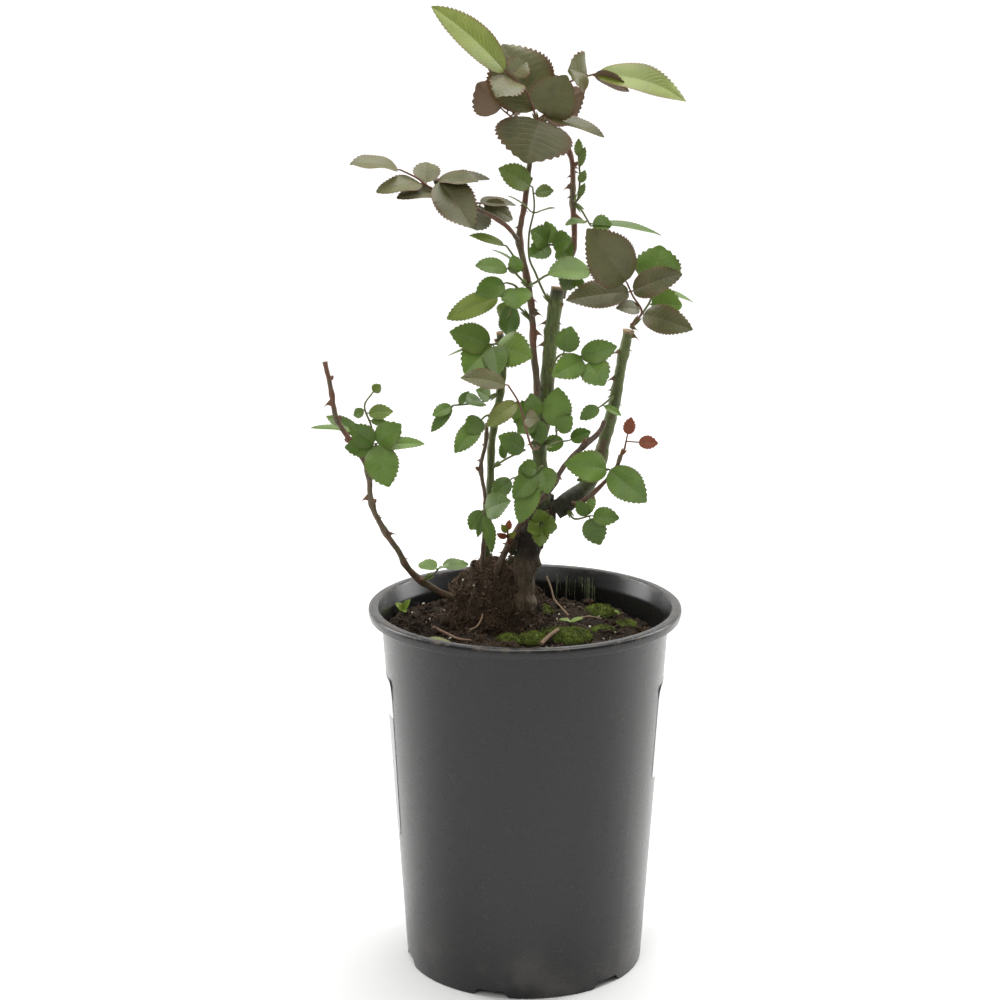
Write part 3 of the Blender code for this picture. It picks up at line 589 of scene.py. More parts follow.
def ground(x, y):
    """The top of the soil: tilted up to the left, lumpy, and crumbly close to."""
    x, y = np.atleast_1d(x), np.atleast_1d(y)
    lumps = np.sin(x * 95 + 1.0) * np.cos(y * 80 - 0.6) + 0.6 * np.sin(x * 170 - y * 140)
    flat = np.stack([x, y, np.zeros_like(x)], 1)
    return (SOIL_TOP - SOIL_TILT * x + 0.0012 * lumps
            + 0.0022 * rough(flat, 130) + 0.0009 * rough(flat, 420, 3))


def make_soil():
    rings, sides = 72, 200
    shape = Shape()
    turns = np.arange(sides) / sides * math.tau
    radii = SOIL_EDGE * np.linspace(0.01, 1, rings)
    x = (radii[:, None] * np.sin(turns)).ravel()
    y = (-radii[:, None] * np.cos(turns)).ravel()
    top = np.stack([x, y, ground(x, y)], 1)
    low = FLOOR_TOP + 0.0005
    foot = inner_radius(low) - 0.0024
    bottom = np.stack([foot * np.sin(turns), -foot * np.cos(turns), np.full(sides, low)], 1)
    ends = np.array([(0, 0, ground(0, 0)[0]), (0, 0, low)])
    faces = ring_faces(rings + 1, sides, flipped=True)
    centre, under = (rings + 1) * sides, (rings + 1) * sides + 1
    faces += [(centre, j, (j + 1) % sides) for j in range(sides)]
    faces += [(under, rings * sides + (j + 1) % sides, rings * sides + j) for j in range(sides)]
    shape.add(np.vstack([top, bottom, ends]), faces)
    return shape.piece("potting_soil_bed", earth_look(), "soil", "potting_soil")


# %% [markdown]
# The soil's colour runs from nearly black where it is damp to a warm brown on dry crumbs.
# Small cells of colour stand for single crumbs, and the roughness stays near one because
# peat scatters light with no gloss.

# %% Earth
def earth_look(name="peat", damp=(0.013, 0.0085, 0.005), dry=(0.050, 0.034, 0.020)):
    look = Look(name, 0.95, Specular_IOR_Level=0.2)
    broad = look.noise(70, detail=6, roughness=0.7)
    crumb = look.cells(700)
    fine = look.noise(1500, detail=4, roughness=0.7)
    dryness = (broad * 0.8 + fine * 0.7 - crumb * 0.35).step(0.45, 1.0)
    tint = look.mix(look.noise(240, detail=3).step(0.5, 0.7), dry,
                    tuple(c * k for c, k in zip(dry, (1.4, 1.0, 0.7))))
    look.feed(Base_Color=look.mix(dryness, damp, tint), Roughness=fine * 0.15 + 0.84)
    look.relief(fine + crumb * 0.8, 0.0006, 0.9)
    return look


make_soil()

# %% Crumbs
ball = bmesh.new()
bmesh.ops.create_icosphere(ball, subdivisions=1, radius=1.0)
BALL = (np.array([v.co[:] for v in ball.verts]), [tuple(v.index for v in f.verts) for f in ball.faces])
ball.clear()
bmesh.ops.create_icosphere(ball, subdivisions=2, radius=1.0)
FINE_BALL = (np.array([v.co[:] for v in ball.verts]), [tuple(v.index for v in f.verts) for f in ball.faces])
ball.free()


def random_turn():
    """A random rotation matrix."""
    matrix, _ = np.linalg.qr(rng.normal(size=(3, 3)))
    return matrix * np.sign(np.linalg.det(matrix))


def add_grain(shape, spot, size, form=BALL, **held):
    """One irregular grain, squashed and turned at random."""
    points, faces = form
    uneven = 1 + rng.uniform(-0.28, 0.28, len(points))
    stretched = points * uneven[:, None] * rng.uniform(0.55, 1.25, 3) * size
    shape.add(stretched @ random_turn() + spot, faces, **held)


def on_soil(count, reach=0.985):
    """Random places on the soil."""
    spots = []
    while len(spots) < count:
        r, turn = SOIL_EDGE * reach * math.sqrt(rng.random()), rng.random() * math.tau
        x, y = r * math.sin(turn), -r * math.cos(turn)
        spots.append((x, y))
    spots = np.array(spots)
    return np.column_stack([spots, ground(spots[:, 0], spots[:, 1])])


def on_mound(count):
    """Random places on the upper side of the root mound, and the way out at each."""
    ways = rng.normal(size=(count, 3))
    ways[:, 2] = np.abs(ways[:, 2]) * 0.9 - 0.15
    ways /= np.linalg.norm(ways, axis=1)[:, None]
    return mound_point(ways), ways


def mound_point(ways):
    """Where the mound's uneven surface lies in these directions from its middle."""
    ways = np.asarray(ways)
    swell = 1 + 0.10 * rough(ways, 2.1, 2) + 0.09 * rough(ways, 6.0, 4)
    return MOUND + ways * MOUND_SIZE * swell[:, None]


def make_crumbs():
    dark = Shape()
    for spot in on_soil(1500):
        add_grain(dark, spot + (0, 0, 0.0003), rng.uniform(0.0006, 0.0017))
    for spot in on_soil(150):
        add_grain(dark, spot + (0, 0, 0.0006), rng.uniform(0.0018, 0.0034), FINE_BALL)
    dark.piece("soil_crumbs", earth_look("bark_crumbs", (0.020, 0.012, 0.007), (0.085, 0.055, 0.032)), "soil",
               smooth=False)
    pale = Shape()
    for spot in on_soil(75):
        add_grain(pale, spot + (0, 0, 0.0006), rng.uniform(0.0005, 0.0012), FINE_BALL)
    for spot, way in zip(*on_mound(14)):
        add_grain(pale, spot + way * 0.0005, rng.uniform(0.0005, 0.0009), FINE_BALL)
    grain = Look("perlite", 0.8, Specular_IOR_Level=0.3)
    grain.feed(Base_Color=grain.mix(grain.noise(900), (0.42, 0.40, 0.30), (0.66, 0.64, 0.52)))
    grain.relief(grain.noise(2500), 0.0002)
    pale.piece("perlite_grains", grain, "soil")


make_crumbs()
print("crumbs and perlite strewn")

# %% [markdown]
# ## The root mound
# The bush was planted a little high, so the old nursery plug stands out of the soil: a ball
# of peat held together by hair roots. The ball is a sphere pushed in and out by noise, and
# several hundred thin strands then run over it, each an arc round the ball.

# %% Strands
def add_strand(shape, route, radius, sides=3, **held):
    """A thin tapered strand along a route of points."""
    radii = radius * np.linspace(1, 0.35, len(route))
    shape.add(*tube(route, radii, sides), **held)


def mound_strand(length, lift):
    """A strand that follows the mound's surface in a wandering arc."""
    way = unit(rng.normal(size=3) * (1, 1, 0.8) + (0, 0, 0.35))
    axis = unit(rng.normal(size=3))
    steps = 7
    turn = length / MOUND_SIZE.mean() / steps
    ways = []
    for _ in range(steps):
        ways.append(way)
        axis = unit(axis + rng.normal(size=3) * 0.5)
        way = unit(way + np.cross(axis, way) * turn)
    return mound_point(ways) + np.array(ways) * np.linspace(0.0002, lift, steps)[:, None]


def make_mound():
    body = Shape()
    ball = bmesh.new()
    bmesh.ops.create_icosphere(ball, subdivisions=5, radius=1.0)
    ways = np.array([v.co[:] for v in ball.verts])
    faces = [tuple(v.index for v in f.verts) for f in ball.faces]
    ball.free()
    points = mound_point(ways) + ways * (0.0016 * rough(ways, 24, 4))[:, None]
    points[:, 2] = np.maximum(points[:, 2], SOIL_TOP - 0.03)
    body.add(points, faces)
    body.piece("root_mound", earth_look("root_peat", (0.034, 0.022, 0.013), (0.160, 0.112, 0.070)),
               "root_peat", "root_ball")
    hair = Shape("pale")
    for _ in range(620):
        add_strand(hair, mound_strand(rng.uniform(0.006, 0.024), rng.uniform(0.0004, 0.0035)),
                   rng.uniform(0.00012, 0.00034), pale=rng.random())
    for spot, way in zip(*on_mound(420)):
        add_grain(hair, spot + way * 0.0006, rng.uniform(0.0005, 0.0016), pale=rng.random() * 0.5)
    look = Look("hair_roots", 0.85, Specular_IOR_Level=0.25)
    tone = look.held("pale") * 0.8 + look.noise(300) * 0.4
    look.feed(Base_Color=look.mix(tone.step(0.1, 1.1), (0.035, 0.022, 0.013), (0.165, 0.115, 0.072)))
    hair.piece("root_hairs", look, "root_peat")


make_mound()
print("mound and hair roots made")

# %% Strands on the soil
def make_soil_fibres():
    """Loose peat fibres that lie on the soil, and pale strands that hang on the wall at the back."""
    loose = Shape("pale")
    for spot in on_soil(260):
        heading, length = rng.random() * math.tau, rng.uniform(0.004, 0.016)
        steps = np.linspace(-0.5, 0.5, 6)
        bend = rng.uniform(-0.5, 0.5)
        x = spot[0] + length * (steps * math.cos(heading) - bend * steps**2 * math.sin(heading))
        y = spot[1] + length * (steps * math.sin(heading) + bend * steps**2 * math.cos(heading))
        inside = np.minimum(1, SOIL_EDGE * 0.985 / np.hypot(x, y))
        x, y = x * inside, y * inside
        lift = 0.0006 + rng.uniform(0, 0.0016) * np.linspace(0, 1, 6)
        add_strand(loose, np.stack([x, y, ground(x, y) + lift], 1), rng.uniform(0.00012, 0.00035),
                   pale=rng.random())
    look = Look("peat_fibre", 0.85, Specular_IOR_Level=0.25)
    look.feed(Base_Color=look.mix(look.held("pale"), (0.035, 0.022, 0.013), (0.20, 0.15, 0.10)))
    loose.piece("soil_fibres", look, "soil")
    hanging = Shape("pale")
    for _ in range(34):
        turn = math.radians(rng.uniform(146, 166))
        top = rng.uniform(0.2275, 0.2335)
        drop = rng.uniform(0.003, 0.017)
        z = np.linspace(top, max(top - drop, 0.2135), 8)
        drift = np.cumsum(rng.normal(0, 0.0022, 8))
        r = inner_radius(z) - 0.0007
        route = np.stack([r * np.sin(turn + drift), -r * np.cos(turn + drift), z], 1)
        add_strand(hanging, route, 0.00022, pale=rng.uniform(0.3, 1))
    algae = Look("dried_algae", 0.8)
    algae.feed(Base_Color=algae.mix(algae.held("pale"), (0.06, 0.08, 0.03), (0.30, 0.34, 0.20)))
    hanging.piece("wall_strands", algae, "moss")


make_soil_fibres()

# %% [markdown]
# ## Moss
# Moss grows in low cushions of many short shoots. Each cushion is a shallow dome set with
# pointed tufts that lean every way. The tufts, not the dome, catch the light, so they carry
# a bright tip and a dark foot.

# %% Moss cushions
# Centre and half sizes of each cushion, in millimetres. The first two stand for the modelled ones.
CUSHIONS = (
    ("moss_front", (30, -12, 218), (12, 13, 5)),
    ("moss_back", (50, 50, 216), (10, 9, 5)),
    (None, (5, -16, 218), (9, 9, 4)),
    (None, (-10, -20, 218), (8, 7, 4)),
    (None, (10, 50, 217), (9, 7, 4)),
    (None, (20, 2, 217), (10, 6, 3)),
    (None, (50, 12, 215), (8, 6, 3)),
    (None, (66, 28, 214), (7, 8, 3)),
    (None, (-30, -66, 219), (9, 6, 3)),
    (None, (60, -38, 215), (8, 8, 3)),
    (None, (-14, 66, 218), (11, 8, 3)),
)


def moss_look():
    look = Look("moss_green", 0.85, Specular_IOR_Level=0.25)
    patch = look.noise(160, detail=3).step(0.35, 0.65)
    tip = look.held("tip")
    low = look.mix(patch, (0.034, 0.042, 0.009), (0.055, 0.075, 0.014))
    high = look.mix(patch, (0.125, 0.155, 0.022), (0.250, 0.330, 0.040))
    look.feed(Base_Color=look.mix(tip, low, high))
    look.relief(look.noise(1800), 0.0003)
    return look


def dome_points(centre, size, ways):
    """Places on an uneven dome."""
    ways = np.asarray(ways)
    return centre + ways * size * (1 + 0.16 * rough(ways + centre * 90, 2.6, 3))[:, None]


def make_moss():
    look = moss_look()
    spare = Shape("tip")
    for node, centre, size in CUSHIONS:
        centre, size = np.array(centre) * MM, np.array(size) * MM
        cushion = Shape("tip") if node else spare
        cushion.add(dome_points(centre, size, FINE_BALL[0]), FINE_BALL[1], tip=0.25)
        count = int(1.1 * size[0] * size[1] / MM**2 * 6)
        ways = rng.normal(size=(count, 3))
        ways[:, 2] = np.abs(ways[:, 2])
        ways /= np.linalg.norm(ways, axis=1)[:, None]
        for spot, way in zip(dome_points(centre, size, ways), ways):
            out = unit(way * (1, 1, 1.6) + rng.normal(size=3) * 0.38)
            side = unit(np.cross(out, rng.normal(size=3)))
            other = np.cross(out, side)
            wide, tall = rng.uniform(0.00022, 0.00042), rng.uniform(0.0009, 0.0021)
            ring = [spot + wide * (math.cos(a) * side + math.sin(a) * other)
                    for a in (0, math.tau / 3, 2 * math.tau / 3)]
            faces = [(0, 1, 3), (1, 2, 3), (2, 0, 3), (2, 1, 0)]
            cushion.add([*ring, spot + out * tall], faces,
                        tip=np.array([0.15, 0.15, 0.15, rng.uniform(0.6, 1)]))
        if node:
            cushion.piece(node + "_cushion", look, "moss", node)
    spare.piece("small_moss", look, "moss")


make_moss()
print(len(CUSHIONS), "moss cushions")

# %% [markdown]
# ## Canes
# A rose cane is a tapered rod that changes course at each bud. It swells at the buds, its
# bark is ridged along its length, and hooked thorns stand on wide oval bases. Where it was
# pruned it ends in a flat tan disc. Each cane is one mesh: rings round a smooth route, with
# its thorns and buds added to the same piece.

# %% Cane routes
# Base and top diameter and then the route from the base up, in millimetres from the pot's axis.
STEMS = {
    "crown": (13.0, 13.5, ((-2, 9, 232), (0, 8, 255), (3, 8, 275), (7, 9, 286), (10, 10, 293),
                           (10, 10, 298))),
    "old_cane": (9.2, 8.6, ((10, 10, 298), (10, 10, 318), (9, 8, 340), (12, 5, 360), (14, 4, 385),
                            (16, 3, 410), (20, 5, 440))),
    "tall_cane": (4.4, 3.2, ((6, -2, 360), (7, -2, 380), (5, 2, 400), (4, 4, 425), (0, 5, 450),
                             (-4, 5, 470), (-1, 4, 490), (2, 2, 515), (7, 4, 535), (12, 5, 545))),
    "upper_cane": (4.4, 2.8, ((23, 12, 432), (25, 11, 448), (30, 10, 468), (29, 10, 490),
                              (29, 10, 508), (27, 10, 522), (18, 9, 536))),
    "right_cane": (9.6, 6.0, ((19, 10, 296), (28, 11, 302), (38, 13, 310), (46, 14, 322),
                              (50, 13, 340), (56, 11, 365), (60, 9, 390), (66, 6, 420))),
    "arch_cane": (4.4, 3.0, ((-22, 12, 245), (-15, 7, 264), (-6, -2, 285), (7, -10, 305),
                             (16, -13, 316), (24, -13, 330), (36, -9, 342), (46, -5, 350),
                             (50, -3, 358))),
    "left_cane": (4.2, 2.8, ((-36, 14, 233), (-50, 10, 240), (-64, 3, 250), (-74, -6, 262),
                             (-80, -14, 276), (-88, -19, 290), (-96, -20, 308), (-98, -20, 330),
                             (-108, -20, 347), (-117, -20, 362), (-120, -20, 380), (-124, -20, 400))),
    "thin_stem": (3.0, 2.2, ((-28, 13, 247), (-27, 11, 265), (-25, 8, 300), (-28, 5, 325),
                             (-25, 5, 340), (-24, 5, 356))),
    "pruned_stem": (5.0, 4.4, ((-25, 20, 247), (-24, 19, 280), (-22, 17, 310), (-21, 16, 340),
                               (-16, 14, 370), (-14, 12, 388), (-16, 8, 411))),
}
# A shoot grows from a stem at a height, then follows its own points.
SHOOTS = {
    "left_shoot": ("tall_cane", 468, 3.0, 2.2, ((-10, -4, 477), (-18, -8, 484), (-30, -10, 490),
                                                (-42, -10, 497), (-54, -8, 503))),
    "low_shoot": ("right_cane", 301, 3.4, 2.2, ((34, 0, 303), (42, -3, 310), (50, -4, 318),
                                                (57, -4, 327), (60, -4, 336))),
}
# Thorns: the stem, the height and the way each points.
THORNS = (
    ("old_cane", 341, (-1, -0.3, -0.1)),
    ("old_cane", 405, (-1, -0.2, -0.2)),
    ("old_cane", 418, (-1, 0.3, -0.2)),
    ("old_cane", 411, (1, -0.2, -0.1)),
    ("old_cane", 388, (1, 0.4, -0.1)),
    ("tall_cane", 412, (1, -0.3, -0.2)),
    ("tall_cane", 424, (1, 0.3, -0.2)),
    ("tall_cane", 505, (-1, -0.3, 0.0)),
    ("upper_cane", 483, (1, -0.3, -0.1)),
    ("upper_cane", 502, (-1, -0.3, -0.1)),
    ("upper_cane", 524, (-1, -0.3, 0.2)),
    ("right_cane", 382, (-1, -0.4, -0.1)),
    ("right_cane", 399, (-1, -0.2, -0.2)),
    ("right_cane", 410, (1, -0.4, 0.1)),
    ("left_cane", 312, (-1, -0.3, 0.1)),
    ("left_cane", 372, (-1, -0.3, 0.2)),
    ("left_cane", 288, (1, -0.4, 0.2)),
)
BARE_TOPS = ("old_cane", "right_cane", "pruned_stem", "crown")


def tapered(start, end, count):
    """Radii that run evenly from one diameter to another, given in millimetres."""
    return np.linspace(start, end, count) * MM / 2


def on_stem(stem, height):
    """The stem's centre, its direction and its radius at this height, in metres."""
    route, radii = stems[stem]
    z = height * MM
    i = int(np.clip(np.searchsorted(route[:, 2], z) - 1, 0, len(route) - 2))
    low, high = route[i], route[i + 1]
    part = np.clip((z - low[2]) / max(high[2] - low[2], 1e-6), 0, 1)
    return low + (high - low) * part, unit(high - low), radii[i] + (radii[i + 1] - radii[i]) * part


def shoot_start(stem, height, toward):
    """Where a stalk that leaves a stem toward a point begins, just inside the bark."""
    centre, along, bark = on_stem(stem, height)
    way = unit(toward - centre)
    return centre + way * bark * 0.8


stems = {}
for name, (base, top, route) in STEMS.items():
    smooth_line, _ = smooth_route(np.array(route) * MM, 8)
    stems[name] = (smooth_line, tapered(base, top, len(smooth_line)))
for name, (stem, height, base, top, route) in SHOOTS.items():
    points = np.array(route) * MM
    smooth_line, _ = smooth_route([shoot_start(stem, height, points[0]), *points], 8)
    stems[name] = (smooth_line, tapered(base, top, len(smooth_line)))
print(len(stems), "stems laid out")

# %% [markdown]
# Bark is drawn with three layers: streaks stretched along the cane, small pale pores, and
# brown or red patches on the side that the sun reaches. Each kind of wood has its own set
# of colours, and thorns, buds and cut tops take theirs from a number held on the mesh.

# %% Bark
def bark_look(name, deep, light, patch, amount, scar=0.0, relief=0.0004):
    """Bark with its dark and light tone, the colour of its patches and how much of it they cover."""
    look = Look(name, 0.55, Specular_IOR_Level=0.4)
    streak = look.noise((520, 520, 70), detail=5)
    fine = look.noise((1600, 1600, 500), detail=3)
    broad = look.noise(75, detail=4)
    pores = 1 - look.cells((420, 420, 260)).step(0.10, 0.22)
    body = look.mix((streak * 0.75 + fine * 0.35).step(0.3, 0.8), deep, light)
    patched = look.mix((broad * 0.7 + streak * 0.3).step(0.62 - amount * 0.34, 0.74 - amount * 0.34) * 0.85,
                       body, patch)
    pored = look.mix(pores * 0.35, patched, tuple(min(1, c * 1.9 + 0.02) for c in light))
    dark = look.held("dark")
    darkened = look.mix(dark, pored, (0.014, 0.010, 0.007))
    spiny = look.mix(look.held("thorn"), darkened, look.mix(fine, (0.13, 0.045, 0.025), (0.24, 0.12, 0.065)))
    wood = look.mix(fine, (0.22, 0.13, 0.07), (0.42, 0.29, 0.18))
    look.feed(Base_Color=look.mix(look.held("cut"), spiny, wood))
    look.feed(Roughness=streak * 0.25 + look.held("cut") * 0.2 + 0.42 + scar)
    look.relief(streak + fine * 0.4 + pores * 0.5, relief, 0.8)
    return look


BARKS = {
    "crown_bark": bark_look("crown_bark", (0.045, 0.030, 0.018), (0.150, 0.112, 0.070),
                            (0.080, 0.078, 0.036), 0.4, 0.3, 0.0012),
    "green_bark": bark_look("green_bark", (0.048, 0.062, 0.018), (0.128, 0.165, 0.045),
                            (0.115, 0.080, 0.046), 0.28),
    "young_bark": bark_look("young_bark", (0.060, 0.042, 0.024), (0.150, 0.120, 0.066),
                            (0.145, 0.058, 0.036), 0.55),
    "brown_bark": bark_look("brown_bark", (0.050, 0.032, 0.022), (0.165, 0.112, 0.075),
                            (0.085, 0.090, 0.048), 0.2, 0.1),
}
BARK_OF = {
    "crown": "crown_bark", "old_cane": "green_bark", "right_cane": "green_bark", "pruned_stem": "green_bark",
    "tall_cane": "young_bark", "upper_cane": "young_bark", "left_cane": "young_bark",
    "left_shoot": "young_bark", "low_shoot": "young_bark", "arch_cane": "brown_bark",
    "thin_stem": "brown_bark",
}

# %% Thorns and buds
def add_thorn(shape, stem, height, way, length=0.0046):
    """A hooked spine on a long oval base."""
    centre, along, bark = on_stem(stem, height)
    out = unit(np.array(way, float) - along * np.dot(way, along) * 0.7)
    across = np.cross(along, out)
    rows, sides = 8, 8
    rings, held = [], []
    for t in np.linspace(0, 1, rows):
        spot = centre + out * (bark * 0.7 + (length + bark * 0.3) * t) - along * length * 0.55 * t**2
        tall = length * 0.52 * (1 - t) ** 2.0 + 0.00016
        wide = length * 0.19 * (1 - t) ** 1.4 + 0.00014
        for a in np.arange(sides) / sides * math.tau:
            rings.append(spot + along * tall * math.cos(a) + across * wide * math.sin(a))
            held.append(0.25 + 0.75 * t)
    faces = ring_faces(rows, sides)
    faces += [tuple(reversed(range(sides))), tuple(range((rows - 1) * sides, rows * sides))]
    shape.add(rings, faces, thorn=np.array(held))


def add_bud(shape, stem, height, way, size=0.0016):
    """A pointed scaly bud that sits close to the bark."""
    centre, along, bark = on_stem(stem, height)
    out = unit(np.array(way, float))
    start = centre + out * bark * 0.8
    end = start + unit(out + along * 0.9) * size * 2.4
    t = np.linspace(0, 1, 7)
    radii = size * 0.75 * np.sin(np.pi * (t * 0.88 + 0.12)) ** 0.7 + 0.0001
    shape.add(*tube(start + np.outer(t, end - start), radii, 8), thorn=0.55)


# %% Cane meshes
def add_cane(shape, name, sides=16):
    """The cane's rod, with ridges, swollen buds and a cut or pointed top."""
    route, radii = stems[name]
    route, run = smooth_route(route[::3] if len(route[::3]) > 3 else route, 5)
    base, top = radii[0], radii[-1]
    full = base + (top - base) * run
    for low, swell, reach in SWELLINGS.get(name, ()):
        full = full + base * swell * np.exp(-((route[:, 2] * 1000 - low) / reach) ** 2)
    full = full * (1 + 0.05 * rough(route, 90, 2))
    points, faces = tube(route, full, sides, wobble=0.03)
    count = len(route) * sides
    centres = np.repeat(route, sides, axis=0)
    rough_bark = ROUGHNESS.get(name, 0.0003) * rough(points[:count] * (1, 1, 0.45), 260, 3)
    out = points[:count] - centres
    points[:count] += out / np.linalg.norm(out, axis=1)[:, None] * rough_bark[:, None]
    dark = np.zeros(len(points))
    dark[:count] = np.repeat(DARKENED.get(name, lambda z: 0 * z)(route[:, 2] * 1000), sides)
    cut = np.zeros(len(points))
    if name in BARE_TOPS:
        cut[[*range(count - sides, count), -1]] = 0.85
        points[-1] -= unit(route[-1] - route[-2]) * full[-1] * 0.15
    shape.add(points, faces, dark=dark, cut=cut)


# Where a stem swells: the height, how much as a part of its base radius, and how far along it.
SWELLINGS = {
    "crown": ((236, 0.35, 5), (247, -0.06, 5), (262, 0.12, 5), (277, 0.28, 6), (291, 0.42, 7)),
    "old_cane": ((300, 0.5, 7), (320, 0.10, 4), (352, 0.08, 4), (382, 0.08, 3), (412, 0.14, 4),
                 (427, 0.10, 3)),
    "right_cane": ((296, 0.35, 8), (306, 0.18, 5), (331, 0.10, 5), (374, 0.10, 3), (397, 0.14, 3),
                   (413, 0.16, 3)),
    "pruned_stem": ((281, 0.12, 4), (312, 0.16, 4), (334, 0.12, 4), (350, 0.1, 3), (372, 0.16, 3),
                    (404, 0.2, 3)),
    "tall_cane": ((409, 0.25, 3), (430, 0.22, 3), (447, 0.25, 3), (468, 0.35, 4), (505, 0.2, 3),
                  (528, 0.25, 3), (540, 0.4, 4)),
    "upper_cane": ((447, 0.2, 3), (462, 0.25, 3), (492, 0.3, 3), (500, 0.25, 3), (523, 0.2, 3)),
    "arch_cane": ((259, 0.2, 4), (277, 0.3, 3), (300, 0.18, 4), (321, 0.2, 3), (343, 0.25, 3), (360, 0.2, 2)),
    "left_cane": ((252, 0.35, 4), (267, 0.25, 3), (289, 0.3, 3), (308, 0.3, 3), (327, 0.4, 4), (347, 0.3, 3),
                  (361, 0.25, 3), (377, 0.2, 3), (398, 0.15, 2)),
    "thin_stem": ((262, 0.3, 3), (300, 0.4, 3), (323, 0.35, 3), (346, 0.3, 3)),
    "left_shoot": ((484, 0.2, 3), (494, 0.3, 3), (502, 0.3, 3)),
    "low_shoot": ((310, 0.25, 3), (324, 0.3, 3), (334, 0.3, 3)),
}
# How deep the bark's roughness is, in metres, where it is more than the usual.
ROUGHNESS = {"crown": 0.0022, "old_cane": 0.0005, "right_cane": 0.0006, "arch_cane": 0.0004}
# Where bark is dark: each rule gives 0 to 1 from the height in millimetres.
DARKENED = {
    "crown": lambda z: np.exp(-((z - 276) / 12) ** 2) * 0.9,
    "old_cane": lambda z: np.clip((315 - z) / 18, 0, 1) * 0.7 + np.clip((z - 431) / 6, 0, 1) * 0.8,
    "right_cane": lambda z: np.clip((318 - z) / 14, 0, 0.85),
    "pruned_stem": lambda z: np.clip((z - 404) / 5, 0, 0.5),
}
BUDS = (
    ("left_cane", 252, (0.3, -1, 0.3)), ("left_cane", 308, (1, -0.5, 0.2)),
    ("left_cane", 347, (-1, -0.4, 0.2)), ("left_cane", 361, (1, -0.5, 0.2)),
    ("left_cane", 386, (1, -0.6, 0.3)), ("thin_stem", 323, (-1, -0.3, 0.2)),
    ("thin_stem", 300, (1, -0.4, 0.1)), ("arch_cane", 300, (-1, -0.3, 0.6)),
    ("arch_cane", 343, (-0.5, -0.6, 0.8)), ("pruned_stem", 404, (-1, -0.4, 0.2)),
    ("upper_cane", 500, (-1, -0.6, 0.3)), ("upper_cane", 514, (1, -0.4, 0.2)),
    ("right_cane", 397, (-1, -0.6, 0.3)), ("old_cane", 427, (1, -0.6, 0.3)),
    ("tall_cane", 505, (1, -0.6, 0.4)),
)
# How many small prickles stand on a stem, besides its thorns.
PRICKLES = {"tall_cane": 16, "upper_cane": 12, "right_cane": 9, "old_cane": 8, "left_cane": 12,
            "arch_cane": 8, "thin_stem": 5, "pruned_stem": 5, "left_shoot": 5, "low_shoot": 3}


def make_stems():
    for name in stems:
        shape = Shape("dark", "cut", "thorn")
        add_cane(shape, name, 40 if name == "crown" else 18)
        for stem, height, way in THORNS:
            if stem == name:
                add_thorn(shape, stem, height, way, 0.0050)
        for stem, height, way in BUDS:
            if stem == name:
                add_bud(shape, stem, height, way)
        low, high = stems[name][0][[0, -1], 2] / MM
        for _ in range(PRICKLES.get(name, 0)):
            turn = rng.random() * math.tau
            add_thorn(shape, name, rng.uniform(low + 6, high - 4), (math.cos(turn), math.sin(turn), 0),
                      rng.uniform(0.0016, 0.0030))
        if name == "crown":
            add_knots(shape)
        shape.piece(name + "_bark", BARKS[BARK_OF[name]], BARK_OF[name], name)


# %% Knots
# Burrs on the crown: the place and half size of each, in millimetres.
KNOTS = (((-7, 4, 276), 5.2), ((-5, 2, 283), 4.4), ((-8, 8, 270), 4.0), ((8, 5, 272), 3.6),
         ((2, 1, 289), 4.6), ((12, 6, 291), 6.4), ((5, 15, 284), 5.0), ((-9, 6, 264), 2.8),
         ((9, 4, 262), 2.6), ((17, 8, 297), 5.2), ((2, 6, 300), 4.4), ((16, 12, 304), 4.2))


def add_knots(shape):
    for spot, size in KNOTS:
        points, faces = FINE_BALL
        swell = 1 + 0.22 * rough(points + np.array(spot), 2.2, 3)
        shape.add(points * swell[:, None] * size * MM * (0.62, 0.62, 0.78) + np.array(spot) * MM, faces,
                  dark=0.35)


make_stems()
print("canes, thorns and buds made")

# %% [markdown]
# ## Leaflets
# A rose leaf is compound: three to seven toothed leaflets on one stalk, with a pair of
# narrow stipules where it leaves the cane. A leaflet is made here as two fine sheets, upper
# and lower, that share a toothed margin. The sheet arches, folds along the midrib, waves a
# little at the edge, and sinks along its side veins.

# %% Leaflet mesh
TOOTH_PITCH = 0.0023
FULLNESS = 1.15
VEIN_SWEEP, VEIN_BEND = 0.24, 1.25
COLUMNS = np.array((-1.0, -0.86, -0.62, -0.36, -0.14, 0.0, 0.14, 0.36, 0.62, 0.86, 1.0))
LEAF_HELD = ("along", "across", "under", "stalk", "young", "tone")


def outline(part):
    """Half the width at a part of the length: rounded below and drawn to a point at the tip."""
    return np.sin(np.pi * part**0.88) ** (0.50 + 0.24 * part)


